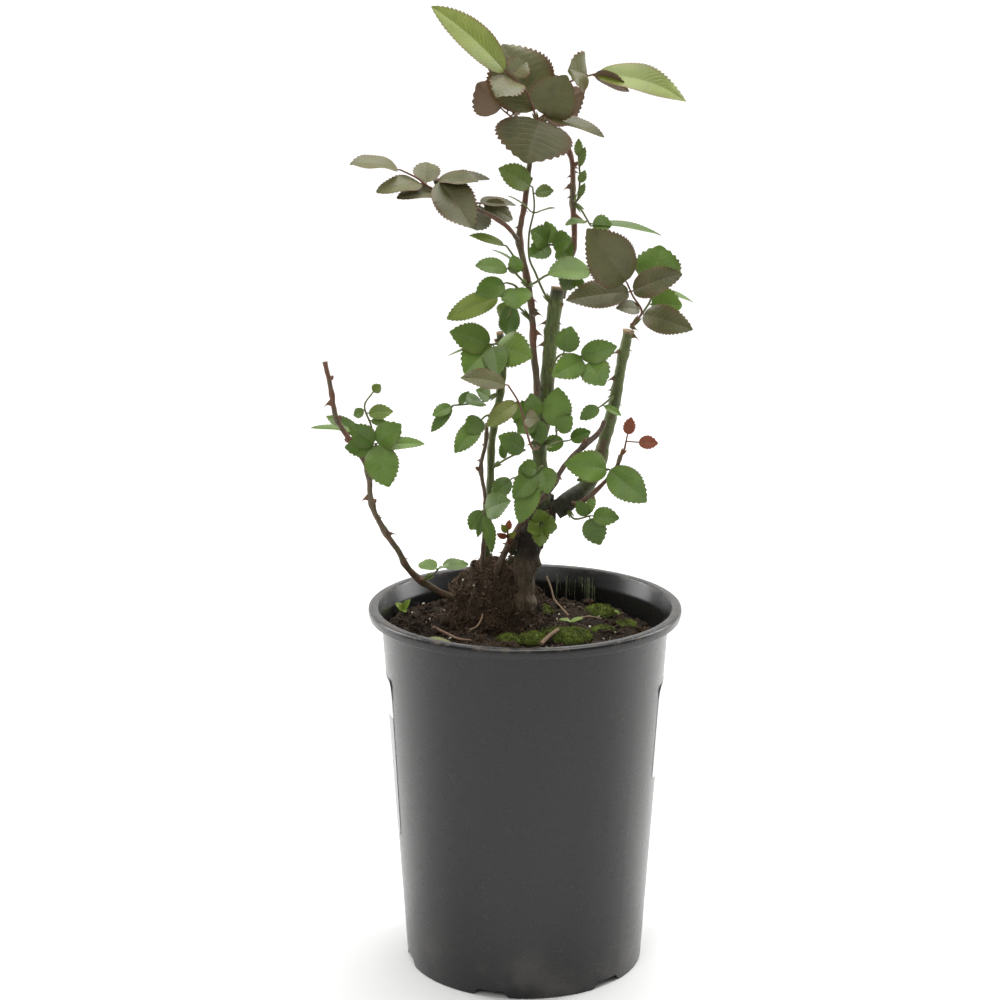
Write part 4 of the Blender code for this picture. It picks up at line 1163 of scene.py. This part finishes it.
def add_leaflet(shape, base, tip, width, face, young=0.0, toothed=True, curl=0.0):
    """One leaflet from its base to its tip."""
    run = tip - base
    length = np.linalg.norm(run)
    forward = run / length
    up = np.array(face, float)
    up = unit(up - forward * up.dot(forward))
    side = np.cross(forward, up)
    teeth = int(np.clip(round(length / TOOTH_PITCH), 6, 24)) if toothed else 0
    rows = teeth * 3 if teeth else 9
    part = (np.arange(rows) + 0.6) / rows
    edge = np.tile((0.0, 0.6, 1.0), teeth) if teeth else np.zeros(rows)
    fade = np.sin(np.pi * part) ** 0.3
    half = width / 2 * outline(part)
    tooth = np.minimum(width * 0.028 + 0.00036, half * 0.35) * (edge - 0.8) * fade
    fold, wave, phase = rng.uniform(0.14, 0.30), rng.uniform(0.01, 0.045), rng.uniform(0, math.tau)
    arch, twist = rng.uniform(0.04, 0.08), rng.uniform(-0.12, 0.12)
    veins = max(5, round(length / 0.0036))
    u, v = np.meshgrid(part, COLUMNS, indexing="ij")
    marginal = np.abs(v) ** 6
    reach = v * (half[:, None] + tooth[:, None] * marginal)
    ahead = u * length + tooth[:, None] * marginal * 0.9
    rise = arch * length * 4 * u * (1 - u) - curl * length * u**3
    rise = (rise + fold * np.abs(reach) * (1 - 0.35 * np.abs(v))
            + wave * width * np.sin(u * 9 + phase + v) * v**2)
    rise = rise + twist * reach * u
    vein = np.sin((u - VEIN_SWEEP * np.abs(v) ** VEIN_BEND) * veins * math.tau)
    rise = rise + 0.0035 * width * vein * (1 - v**2) * np.sqrt(np.abs(v) + 0.02)
    centre = base + forward * ahead[..., None] + side * reach[..., None] + up * rise[..., None]
    thick = (0.00032 * (1 - v**4) * fade[:, None])[..., None] * up
    top, low = centre, (centre - thick)[:, 1:-1]
    wide, inner = len(COLUMNS), len(COLUMNS) - 2
    upper = np.arange(rows * wide).reshape(rows, wide)
    lower = upper.copy()
    lower[:, 1:-1] = rows * wide + np.arange(rows * inner).reshape(rows, inner)
    first, last = rows * (wide + inner), rows * (wide + inner) + 1
    faces = []
    for sheet, flip in ((upper, False), (lower, True)):
        quads = np.stack([sheet[:-1, :-1], sheet[1:, :-1], sheet[1:, 1:], sheet[:-1, 1:]], -1).reshape(-1, 4)
        fans = [(first, a, b) for a, b in zip(sheet[0, :-1], sheet[0, 1:])]
        fans += [(last, b, a) for a, b in zip(sheet[-1, :-1], sheet[-1, 1:])]
        found = [tuple(int(i) for i in f) for f in [*quads, *fans]]
        faces += [tuple(reversed(f)) for f in found] if flip else found
    ends = [base, base + forward * length + up * (-curl * length)]
    points = np.vstack([top.reshape(-1, 3), low.reshape(-1, 3), ends])
    along = np.concatenate([u.ravel(), u[:, 1:-1].ravel(), [0, 1]])
    across = np.concatenate([v.ravel(), v[:, 1:-1].ravel(), [0, 0]])
    under = np.concatenate([np.zeros(u.size), np.ones(rows * inner), [0, 0]])
    tone = rng.uniform(-1, 1)
    if np.dot(np.cross(side, forward), up) > 0:
        faces = [tuple(reversed(f)) for f in faces]
    shape.add(points, faces, along=along, across=across, under=under, young=young, tone=tone, veins=veins)
    if toothed:
        rib = np.linspace(0, rows - 1, 8).astype(int)
        line = np.vstack([base, centre[rib, len(COLUMNS) // 2] - up * 0.00030])
        shape.add(*tube(line, np.linspace(0.00050, 0.00012, len(line)), 6), along=0.5, under=1.0, young=young,
                  tone=tone, stalk=0.55, veins=veins)


# %% [markdown]
# One rule draws every leaf's skin. Side veins leave the midrib and sweep forward to the
# margin, so their place follows from how far along and how far out a point is. Veins are
# paler than the blade. The margin reddens on young wood, the lower side is pale and matt,
# and a little light passes through. Each kind of leaf sets the colours.

# %% Leaf skin
def leaf_look(name, deep, light, vein, margin, under, stalk, young=((0.15, 0.20, 0.02), (0.25, 0.30, 0.03)),
              gloss=0.40, blush=(0.0, (0.1, 0.04, 0.02)), through=0.14):
    look = Look(name, gloss, Specular_IOR_Level=0.45)
    along, across, below = look.held("along"), look.held("across").size(), look.held("under")
    fine = look.cells(1500)
    cloud = look.noise(95, detail=4)
    speck = look.noise(620, detail=3)
    sweep = (along - across**VEIN_BEND * VEIN_SWEEP) * look.held("veins") * math.tau
    side_vein = ((1 - (sweep.wave() * 0.5 + 0.5)) ** 12.0) * (1 - across ** 3.0) * 0.5
    midrib = (1 - across) ** 26.0
    lines = (side_vein + midrib).clamped()
    tone = (cloud * 0.8 + look.held("tone") * 0.20 + speck * 0.25).step(0.15, 0.95)
    blade = look.mix(tone, deep, light)
    flushed = look.mix(cloud.step(0.62 - blush[0] * 0.35, 0.80 - blush[0] * 0.35) * blush[0], blade, blush[1])
    fresh = look.mix(look.held("young"), flushed, look.mix(tone, *young))
    veined = look.mix(lines * 0.42, fresh, look.mix(look.held("young"), vein, (0.30, 0.36, 0.13)))
    edged = look.mix((across ** 9.0) * 0.75, veined, margin)
    beneath = look.mix((lines * 0.5 + cloud * 0.4).clamped(),
                       look.mix(tone, tuple(c * 0.8 for c in under), under), vein)
    sided = look.mix(below, edged, beneath)
    stem_tone = look.mix(speck, tuple(c * 0.65 for c in stalk), stalk)
    look.feed(Base_Color=look.mix(look.held("stalk"), sided, stem_tone))
    look.feed(Roughness=below * 0.22 + lines * 0.12 + cloud * 0.10 + speck * 0.08 + gloss - 0.08)
    look.relief(fine * 0.35 - lines * 0.8 + speck * 0.25, 0.00025, 0.8)
    look.glow((*[c * 1.6 for c in light[:1]], light[1] * 2.0, light[2], 1), through)
    return look


LEAF_LOOKS = {
    "green_leaf": leaf_look("green_leaf_skin", (0.075, 0.132, 0.020), (0.165, 0.275, 0.040),
                            (0.190, 0.240, 0.090), (0.130, 0.130, 0.035), (0.150, 0.190, 0.090),
                            (0.140, 0.150, 0.045)),
    "bronze_leaf": leaf_look("bronze_leaf_skin", (0.066, 0.066, 0.022), (0.145, 0.150, 0.046),
                             (0.170, 0.150, 0.075), (0.150, 0.045, 0.022), (0.190, 0.110, 0.070),
                             (0.190, 0.080, 0.045), gloss=0.42, blush=(0.35, (0.105, 0.056, 0.036)),
                             through=0.10),
    "young_leaf": leaf_look("young_leaf_skin", (0.105, 0.150, 0.030), (0.190, 0.250, 0.060),
                            (0.280, 0.330, 0.120), (0.140, 0.120, 0.035), (0.180, 0.215, 0.100),
                            (0.130, 0.130, 0.040), through=0.2),
    "red_leaf": leaf_look("red_leaf_skin", (0.200, 0.048, 0.020), (0.340, 0.110, 0.045),
                          (0.380, 0.190, 0.080), (0.230, 0.040, 0.018), (0.300, 0.110, 0.060),
                          (0.160, 0.070, 0.030), through=0.22),
}
print(len(LEAF_LOOKS), "kinds of leaf")

# %% [markdown]
# Each leaf is a short list: the stalk's points and then its leaflets. The same few numbers
# place the solid model's leaflets, so these fine ones lie where those do. A leaflet is
# where it joins along the stalk, its tip, its width, the way its upper face looks and, on
# a few, how much of its length is bare stalk.

# %% Leaves
BRONZE, GREEN, YOUNG, RED = "bronze_leaf", "green_leaf", "young_leaf", "red_leaf"
LEAVES = (
    ("leaf_top_left", BRONZE, "tall_cane", 538, ((0, 2, 560), (-12, -2, 572)), (
        (1, (-56, -14, 612), 22, (0, -1, 1)),
        (0.8, (-18, -20, 558), 20, (0, -1, 1)),
        (0.9, (0, 2, 578), 16, (0, -1, 1)),
        (0.2, (-14, 14, 588), 38, (0.2, -1, 0.3)),
    )),
    ("leaf_top_red", BRONZE, "tall_cane", 528, ((-2, 12, 538), (-14, 12, 548)), (
        (1, (-30, 18, 564), 24, (0, 1, 0)),
        (0.9, (-6, 16, 562), 16, (0, 1, 1)),
        (0.8, (5, 16, 556), 12, (0, 1, 1)),
    )),
    ("leaf_top_front", BRONZE, "tall_cane", 541, ((11, -2, 546), (8, -8, 545)), (
        (1, (0, -22, 519), 42, (0, -1, 0.3)),
        (0.3, (24, -12, 571), 27, (0, -1, 0.2)),
        (0.4, (47, -14, 534), 15, (0, -0.3, 1)),
        (0.2, (36, 20, 560), 22, (0, 1, 0)),
    )),
    ("leaf_top_right", BRONZE, "tall_cane", 542, ((18, 8, 558), (27, 4, 566), (42, -2, 571)), (
        (1, (97, -12, 562), 21, (0, -1, 1.2)),
        (0.9, (25, -18, 575), 22, (0, -1, 0.3)),
        (0.95, (62, -12, 561), 14, (0, 1, 1)),
    )),
    ("leaf_long_young", YOUNG, "old_cane", 426,
     ((11, -2, 438), (6, -5, 450), (2, -6, 460), (2, -6, 475), (5, -6, 490), (4, -6, 503)), (
        (1, (-17, -12, 515), 15, (0, -1, 0.6)),
        (0.95, (17, -8, 501), 9, (0, -1, 1)),
        (0.8, (-11, -8, 498), 6, (0, 0, 1)),
        (0.8, (18, -10, 491), 6, (0, 0, 1)),
    )),
    ("leaf_bud_shoot", YOUNG, "upper_cane", 492, ((32, 4, 495), (33, 2, 508), (32, 2, 520)), (
        (1, (32, 0, 532), 5, (0, -1, 0)),
        (0.8, (36, 0, 527), 4, (0, -1, 0)),
        (0.5, (36, -2, 513), 5, (0, -1, 0)),
        (0.2, (36, 0, 505), 4, (0, -1, 0)),
    )),
    ("leaf_left_far", BRONZE, "left_shoot", 499, ((-58, -18, 504), (-66, -19, 510), (-76, -20, 515)), (
        (1, (-106, -28, 519), 17, (0, -0.35, 1)),
        (0.5, (-60, -4, 518), 15, (0, -0.4, 1)),
        (0.55, (-90, -34, 503), 15, (0, -1, 1.5)),
        (0.15, (-78, -30, 499), 14, (0, -0.6, 1)),
    )),
    ("leaf_left_mid", BRONZE, "left_shoot", 503, ((-55, -10, 508), (-53, -18, 509)), (
        (1, (-32, -42, 482), 22, (0, -1, 0.5)),
        (0.3, (-22, -8, 508), 14, (0, -0.4, 1)),
        (0.9, (-29, -32, 509), 14, (0, -0.6, 1)),
    )),
    ("leaf_left_inner", BRONZE, "left_shoot", 494, ((-32, -2, 493), (-27, 4, 492)), (
        (1, (-8, 12, 481), 13, (0, -1, 0.6)),
        (0.8, (-6, 20, 489), 11, (0, -0.6, 1)),
        (0.9, (-31, 14, 474), 16, (0, -1, 0.5)),
    )),
    ("leaf_right_upper", GREEN, "upper_cane", 493, ((34, 6, 488), (40, 4, 478)), (
        (1, (53, 2, 479), 12, (0, -1, 0.6)),
        (0.9, (84, 6, 472), 9, (0, -0.3, 1)),
        (0.8, (24, -8, 480), 8, (0, -0.5, 1)),
    )),
    ("leaf_mid_green", GREEN, "upper_cane", 462, ((20, 0, 466), (14, -6, 468)), (
        (1, (3, -14, 478), 14, (0, -1, 0.6)),
        (0.9, (28, -12, 472), 13, (0, -1, 0.5)),
        (0.9, (2, -16, 462), 12, (0, -1, 0.5)),
        (0.6, (28, -4, 459), 13, (0, -1, 0.4)),
        (0.8, (12, -4, 482), 9, (0, -1, 0.4)),
    )),
    ("leaf_mid_dark", GREEN, "tall_cane", 441,
     ((6, -9, 445), (14, -10, 450), (30, -11, 453), (46, -12, 453)), (
        (0.9, (13, -22, 452), 18, (0, -1, 1.2)),
        (0.7, (23, -16, 441), 11, (0, 1, 0)),
        (0.6, (36, -10, 442), 7, (0, -1, 0.3)),
        (0.95, (50, -8, 446), 7, (0, -1, 0.5)),
    )),
    ("leaf_right_bronze", BRONZE, "right_cane", 414, ((72, 0, 425), (66, -6, 436), (62, -12, 445)), (
        (1, (36, -34, 481), 28, (0, -1, 0.3)),
        (0.8, (24, -30, 437), 17, (0, -1, 0.6)),
        (0.8, (95, -20, 452), 17, (0, -1, 0.6)),
        (0.4, (55, -16, 430), 9, (0, -1, 0.5)),
        (0.3, (102, -24, 418), 16, (0, -1, 0.3)),
    )),
    ("leaf_right_green", GREEN, "right_cane", 412, ((77, 14, 428), (81, 18, 439)), (
        (1, (84, 20, 464), 26, (0, -1, 0.3)),
        (0.6, (98, 14, 427), 18, (0, -1, 0.3)),
        (0.9, (106, 26, 427), 8, (0, -1, 3)),
    )),
    ("leaf_left_thin", GREEN, "tall_cane", 447, ((-8, 4, 460), (-12, 2, 466)), (
        (1, (-35, -2, 473), 8, (0, -0.6, 1)),
        (0.2, (-21, 8, 463), 5, (0, 0, 1)),
    )),
    ("leaf_left_upper", GREEN, "tall_cane", 440, ((-6, -8, 450), (-10, -14, 454)), (
        (1, (-31, -22, 457), 12, (0, -0.9, 1)),
        (0.6, (-8, -16, 463), 9, (0, -1, 0.5)),
    )),
    ("leaf_left_second", GREEN, "tall_cane", 430, ((-6, -6, 442), (-12, -10, 445)), (
        (1, (-31, -20, 439), 13, (0, -1, 0.5)),
        (0.7, (-6, -20, 430), 18, (0, -1, 0.4)),
    )),
    ("leaf_left_light", GREEN, "tall_cane", 418, ((-4, 6, 427), (-16, 8, 434)), (
        (1, (-49, 4, 420), 14, (0, -1, 0.6)),
        (0.7, (-16, 16, 419), 9, (0, -1, 0.4)),
        (0.6, (-12, 20, 407), 12, (0, -1, 0.3)),
    )),
    ("leaf_left_bright", GREEN, "pruned_stem", 403, ((-17, -2, 406), (-21, -8, 406)), (
        (1, (-47, -20, 416), 17, (0, -1, 0.4)),
        (0.95, (-38, -24, 391), 22, (0, -1, 0.3)),
        (0.9, (-17, -26, 390), 14, (0, -1, 0.4)),
        (0.8, (4, -22, 400), 20, (0, -1, 0.3)),
        (0.5, (-48, -12, 400), 6, (0, 0, 1)),
    )),
    ("leaf_bronze_mid", BRONZE, "old_cane", 338,
     ((4, -24, 344), (0, -32, 358), (-4, -35, 374), (-11, -36, 386)), (
        (1, (-40, -44, 392), 13, (0, -1, 1)),
        (0.85, (-24, -46, 362), 11, (-0.4, -1, 0.2)),
        (0.7, (8, -44, 366), 10, (0, -1, 0.3)),
    )),
    ("leaf_left_low", GREEN, "pruned_stem", 372, ((-26, 4, 368), (-36, 0, 367), (-45, -4, 367)), (
        (1, (-59, -4, 350), 7, (0, -1, 0.5)),
        (0.9, (-35, -4, 376), 5, (0, -1, 0.5)),
        (1, (-58, -8, 361), 8, (0, -1, 0.8)),
        (0.4, (-37, -16, 370), 12, (0, -1, 0.8)),
        (0.2, (-31, -6, 377), 9, (0, -1, 0.4)),
    )),
    ("leaf_left_droop", GREEN, "pruned_stem", 356, ((-24, -6, 361), (-28, -12, 359)), (
        (1, (-44, -24, 341), 12, (0, -1, 0.4)),
        (0.9, (-37, -20, 353), 12, (0, -1, 0.4)),
        (0.6, (-12, -10, 361), 15, (0, -1, 0.4)),
    )),
    ("leaf_mid_low", GREEN, "pruned_stem", 322, ((-11, 6, 331), (0, -2, 338)), (
        (1, (-17, -16, 350), 13, (0, -1, 0.4)),
        (0.4, (-15, 6, 341), 5, (0, -1, 0)),
    )),
    ("leaf_centre_left", GREEN, "old_cane", 352, ((6, -6, 359), (6, -11, 360)), (
        (1, (-10, -14, 367), 15, (0, -1, 0.3)),
        (0.9, (3, -20, 378), 11, (0, -1, 0.3)),
        (0.8, (-5, -22, 353), 11, (0, -1, 0.3)),
        (0.7, (10, -17, 345), 11, (0, -1, 0.3)),
    )),
    ("leaf_centre_right", GREEN, "old_cane", 338, ((19, -2, 346), (19, -5, 352)), (
        (1, (20, -6, 379), 17, (0, -1, 0.1)),
        (0.9, (29, -8, 361), 11, (0, -1, 0.3)),
    )),
    ("leaf_right_middle", GREEN, "old_cane", 382, ((20, -10, 399), (28, -14, 401), (38, -17, 398)), (
        (0.6, (28, -16, 419), 14, (0, -1, 0.2)),
        (0.85, (56, -20, 407), 13, (0, -1, 0.3)),
        (1, (48, -28, 384), 17, (0, -1, 0.3)),
        (0.95, (16, -34, 391), 15, (0, -1, 0.3)),
    )),
    ("leaf_right_side", GREEN, "right_cane", 373, ((52, 2, 369), (47, -2, 366)), (
        (1, (34, -4, 358), 9, (0, -1, 1)),
        (0.9, (60, -2, 360), 5, (0, -1, 1)),
    )),
    ("leaf_back_low", GREEN, "old_cane", 336, ((20, 20, 338), (28, 26, 338)), (
        (1, (42, 26, 344), 9, (0, -1, 0.5)),
        (0.9, (10, 26, 334), 10, (0, -1, 0.5)),
    )),
    ("leaf_low_right", GREEN, "low_shoot", 324, ((52, -7, 327),), (
        (1, (75, -26, 310), 19, (0, -1, 0.3)),
        (0.9, (24, -22, 334), 18, (0, -1, 0.3)),
        (0.8, (32, -10, 320), 8, (0, -1, 0.5)),
    )),
    ("leaf_young_red", RED, "low_shoot", 334, ((62, -4, 339), (63, -4, 344)), (
        (1, (66, -6, 360), 7, (0, -1, 0), 0.3),
        (1, (83, -6, 343), 8, (0, -1, 0.5), 0.4),
    )),
    ("leaf_low_hanging", GREEN, "right_cane", 300, ((31, 0, 293), (41, -8, 297)), (
        (1, (59, -14, 297), 11, (0, -1, 0.4)),
        (0.95, (47, -16, 280), 14, (0, -1, 0.2)),
        (0.9, (32, -6, 306), 8, (0, -1, 0.5)),
        (0.8, (44, 4, 307), 6, (0, -1, 0.5)),
    )),
    ("leaf_rosette", GREEN, "crown", 284, ((10, -6, 287), (10, -12, 293)), (
        (1, (8, -18, 304), 10, (0, -1, 0.3)),
        (0.95, (20, -18, 292), 12, (0, -1, 0.3)),
        (0.9, (1, -18, 290), 10, (0, -1, 0.3)),
        (0.95, (9, -20, 280), 10, (0, -1, 0.3)),
    )),
    ("leaf_low_left", GREEN, "thin_stem", 300, ((-26, -6, 301), (-26, -8, 299)), (
        (1, (-21, -16, 275), 8, (0.5, -1, 0)),
        (0.9, (-9, -26, 311), 15, (0, -1, 0.4)),
        (0.8, (-35, -4, 287), 10, (0, -1, 0.3)),
        (0.95, (-30, -12, 284), 5, (0, -1, 0)),
    )),
    ("leaf_low_left_upper", GREEN, "old_cane", 312, ((0, 0, 320), (-8, -2, 320)), (
        (1, (-21, -2, 308), 11, (-0.2, -1, 0.3)),
        (0.6, (-4, -6, 328), 6, (0, -1, 0.3)),
    )),
    ("leaf_trunk", GREEN, "old_cane", 324, ((10, -16, 331), (6, -22, 328)), (
        (0.9, (-4, -24, 332), 10, (0, -1, 0.5)),
        (1, (-4, -28, 297), 14, (0, -1, 0.3)),
        (0.7, (14, -28, 316), 14, (0, -1, 0.3)),
        (0.95, (-8, -32, 314), 13, (0, -1, 0.3)),
    )),
    ("leaf_young_shoot", RED, "arch_cane", 277, ((-11, -14, 284), (-11, -19, 290)), (
        (1, (-10, -22, 298), 4, (0, -1, 0)),
        (0.9, (-15, -22, 295), 4, (0, -1, 0)),
        (0.7, (-18, -22, 289), 4, (0, -1, 0)),
        (0.7, (-6, -22, 290), 4, (0, -1, 0)),
    )),
    ("leaf_rim_leaf", GREEN, "left_cane", 252, ((-58, 0, 257), (-54, 6, 260)), (
        (1, (-36, 12, 260), 10, (0, -0.6, 1)),
        (0.8, (-68, 14, 260), 10, (0, -0.6, 1)),
        (0.9, (-50, -8, 263), 9, (0, -0.6, 1)),
    )),
    ("leaf_sprig_up", GREEN, "left_cane", 331,
     ((-95, -14, 345), (-96, -13, 356), (-100, -12, 368), (-95, -9, 376)), (
        (1, (-90, -8, 381), 6, (0, -1, 0.3)),
        (0.7, (-82, -14, 365), 9, (0, -1, 0.5)),
        (0.75, (-107, -8, 361), 6, (0, -1, 0.3)),
        (0.6, (-85, -10, 356), 5, (0, -1, 0.5)),
    )),
    ("leaf_sprig_left", GREEN, "left_cane", 325, ((-95, -8, 340), (-103, -5, 350)), (
        (1, (-134, -6, 353), 7, (0, -1, 4)),
        (0.9, (-125, 2, 359), 9, (0, -1, 0.8)),
    )),
    ("leaf_sprig_right", GREEN, "left_cane", 327, ((-94, -28, 342), (-92, -33, 349)), (
        (1, (-84, -44, 324), 19, (0, -1, 0.3)),
        (0.95, (-76, -38, 362), 15, (0, -1, 0.4)),
        (0.9, (-62, -34, 349), 9, (0, -1, 1)),
        (0.95, (-108, -42, 362), 13, (0, -1, 0.3)),
        (0.9, (-111, -40, 348), 12, (0, -1, 0.3)),
    )),
)
# Leaflets paler than the rest of their leaf, by their place in its list.
PALE_LEAFLETS = {
    "leaf_top_left": {0: 0.9},
    "leaf_top_right": {0: 0.85},
    "leaf_left_thin": {0: 0.7},
    "leaf_left_light": {0: 0.8, 1: 0.8},
    "leaf_rosette": {0: 0.6, 1: 0.5, 2: 0.5, 3: 0.5},
    "leaf_bronze_mid": {1: 0.6},
    "leaf_young_shoot": {1: 1.0, 3: 1.0},
    "leaf_sprig_up": {0: 0.6, 1: 0.5},
    "leaf_left_bright": {0: 0.25, 3: 0.2},
}
CURLED = {("leaf_top_right", 0): 0.18, ("leaf_top_left", 0): 0.03}


def stalk_point(line, run, part):
    """The point this part of the way along a stalk."""
    return np.array([np.interp(part, run, line[:, k]) for k in range(3)])


def make_leaf(name, kind, stem, height, route, leaflets):
    """A stalk with stipules at its foot and its leaflets."""
    shape = Shape(*LEAF_HELD, "veins")
    points = np.array(route) * MM
    line, run = smooth_route([shoot_start(stem, height, points[0]), *points], 5)
    radii = np.linspace(0.00085, 0.00055, len(line)) + 0.0006 * np.exp(-(run / 0.06) ** 2)
    shape.add(*tube(line, radii, 8), stalk=1.0)
    add_stipules(shape, line, run)
    pale = PALE_LEAFLETS.get(name, {})
    for place, (part, tip, width, face, *bare) in enumerate(leaflets):
        base, tip = stalk_point(line, run, part), np.array(tip) * MM
        short = bare[0] if bare else min(0.10, 0.0018 / np.linalg.norm(tip - base))
        start = base + (tip - base) * short
        mid = (base + start) / 2
        shape.add(*tube(np.array([base, mid, start]), 0.00050, 6), stalk=1.0)
        add_leaflet(shape, start, tip, width * FULLNESS * MM, face, pale.get(place, 0.0),
                    curl=CURLED.get((name, place), 0.0))
    return shape.piece(name.replace("leaf_", "") + "_leaf", LEAF_LOOKS[kind], kind, name)


def add_stipules(shape, line, run):
    """Two narrow wings that clasp the foot of the stalk."""
    start = stalk_point(line, run, 0.03)
    end = stalk_point(line, run, 0.03 + min(0.4, 0.007 / max(0.004, span(line))))
    way = unit(end - start)
    side = unit(np.cross(way, (0.1, -1.0, 0.2)))
    for sign in (-1, 1):
        tip = end + side * sign * 0.0016 + way * 0.001
        add_leaflet(shape, start + side * sign * 0.0003, tip, 0.0018, np.cross(side, way), 0.3, toothed=False)


def span(line):
    return np.linalg.norm(np.diff(line, axis=0), axis=1).sum()


for row in LEAVES:
    make_leaf(*row)
print(len(LEAVES), "leaves made")

# %% [markdown]
# ## What lies on the soil
# A fallen leaflet, a dead twig, a few smaller sticks and some seedlings finish
# the top of the pot.

# %% Litter
def lying(points, lift):
    """Points on the soil, lifted a little, from places in millimetres."""
    flat = np.array(points, float) * MM
    return np.column_stack([flat, ground(flat[:, 0], flat[:, 1]) + lift])


def make_litter():
    twig = Shape("dark", "cut", "thorn")
    line, _ = smooth_route(lying(((-58, -6), (-50, -16), (-42, -26), (-34, -36)), 0.0030), 6)
    twig.add(*tube(line, tapered(2.2, 1.4, len(line)), 10, wobble=0.08), thorn=0.5)
    twig.piece("dead_twig", BARKS["brown_bark"], "brown_bark", "fallen_twig")
    leaf = Shape(*LEAF_HELD, "veins")
    ends = lying(((-66, -32), (-44, -46)), 0.0034)
    add_leaflet(leaf, ends[0], ends[1], 0.013, (0, -0.25, 1), 0.25)
    faded = leaf_look("faded_leaf_skin", (0.105, 0.120, 0.045), (0.200, 0.210, 0.095), (0.270, 0.270, 0.150),
                      (0.160, 0.120, 0.050), (0.200, 0.190, 0.110), (0.170, 0.130, 0.060), gloss=0.55)
    leaf.piece("fallen_leaflet", faded, "faded_leaf", "fallen_leaf")
    sticks = Shape("dark", "cut", "thorn")
    for route, base, top in STICKS:
        line, _ = smooth_route(np.array(route) * MM, 6)
        sticks.add(*tube(line, tapered(base, top, len(line)), 8, wobble=0.06), cut=0.45)
    sticks.piece("small_sticks", BARKS["brown_bark"], "brown_bark")
    weed = Shape(*LEAF_HELD, "veins")
    for start, tip, width, face in SEEDLINGS:
        start, tip = np.array(start) * MM, np.array(tip) * MM
        add_leaflet(weed, start, tip, width * MM, face, 0.5, toothed=False)
        weed.add(*tube(np.array([start, start - (0, 0, 0.003), start - (0, 0, 0.008)]), 0.0004, 5), stalk=1.0)
    weed.piece("seedlings", LEAF_LOOKS["green_leaf"], "green_leaf")


# Loose sticks: a route in millimetres, and the diameters of its ends.
STICKS = (
    (((15, 63, 238), (18, 58, 231), (20, 53, 225), (25, 45, 221), (29, 39, 218)), 1.2, 1.0),
    (((10, -28, 219), (15, -21, 222), (21, -13, 224)), 3.0, 2.4),
    (((-35, -14, 224), (-31, -18, 227), (-28, -12, 230), (-27, -6, 232)), 1.4, 0.8),
    (((34, 28, 219), (42, 26, 221), (50, 28, 219)), 1.4, 0.9),
    (((-52, -40, 221), (-44, -50, 222), (-34, -54, 220)), 1.2, 0.8),
)
# Seedlings: each small leaf's base, tip, width and face, in millimetres.
SEEDLINGS = (
    ((30, 14, 221), (22, 12, 223), 5, (0, -1, 3)),
    ((30, 14, 221), (38, 17, 223), 5, (0, -1, 3)),
    ((-79, 31, 224), (-84, 30, 229), 6, (0.4, -1, 1)),
    ((-79, 31, 224), (-74, 29, 232), 6, (-0.2, -1, 1)),
    ((-79, 31, 224), (-77, 25, 224), 5, (0, -1, 2)),
    ((63, 44, 218), (59, 42, 220), 4, (0, -1, 2)),
)
make_litter()
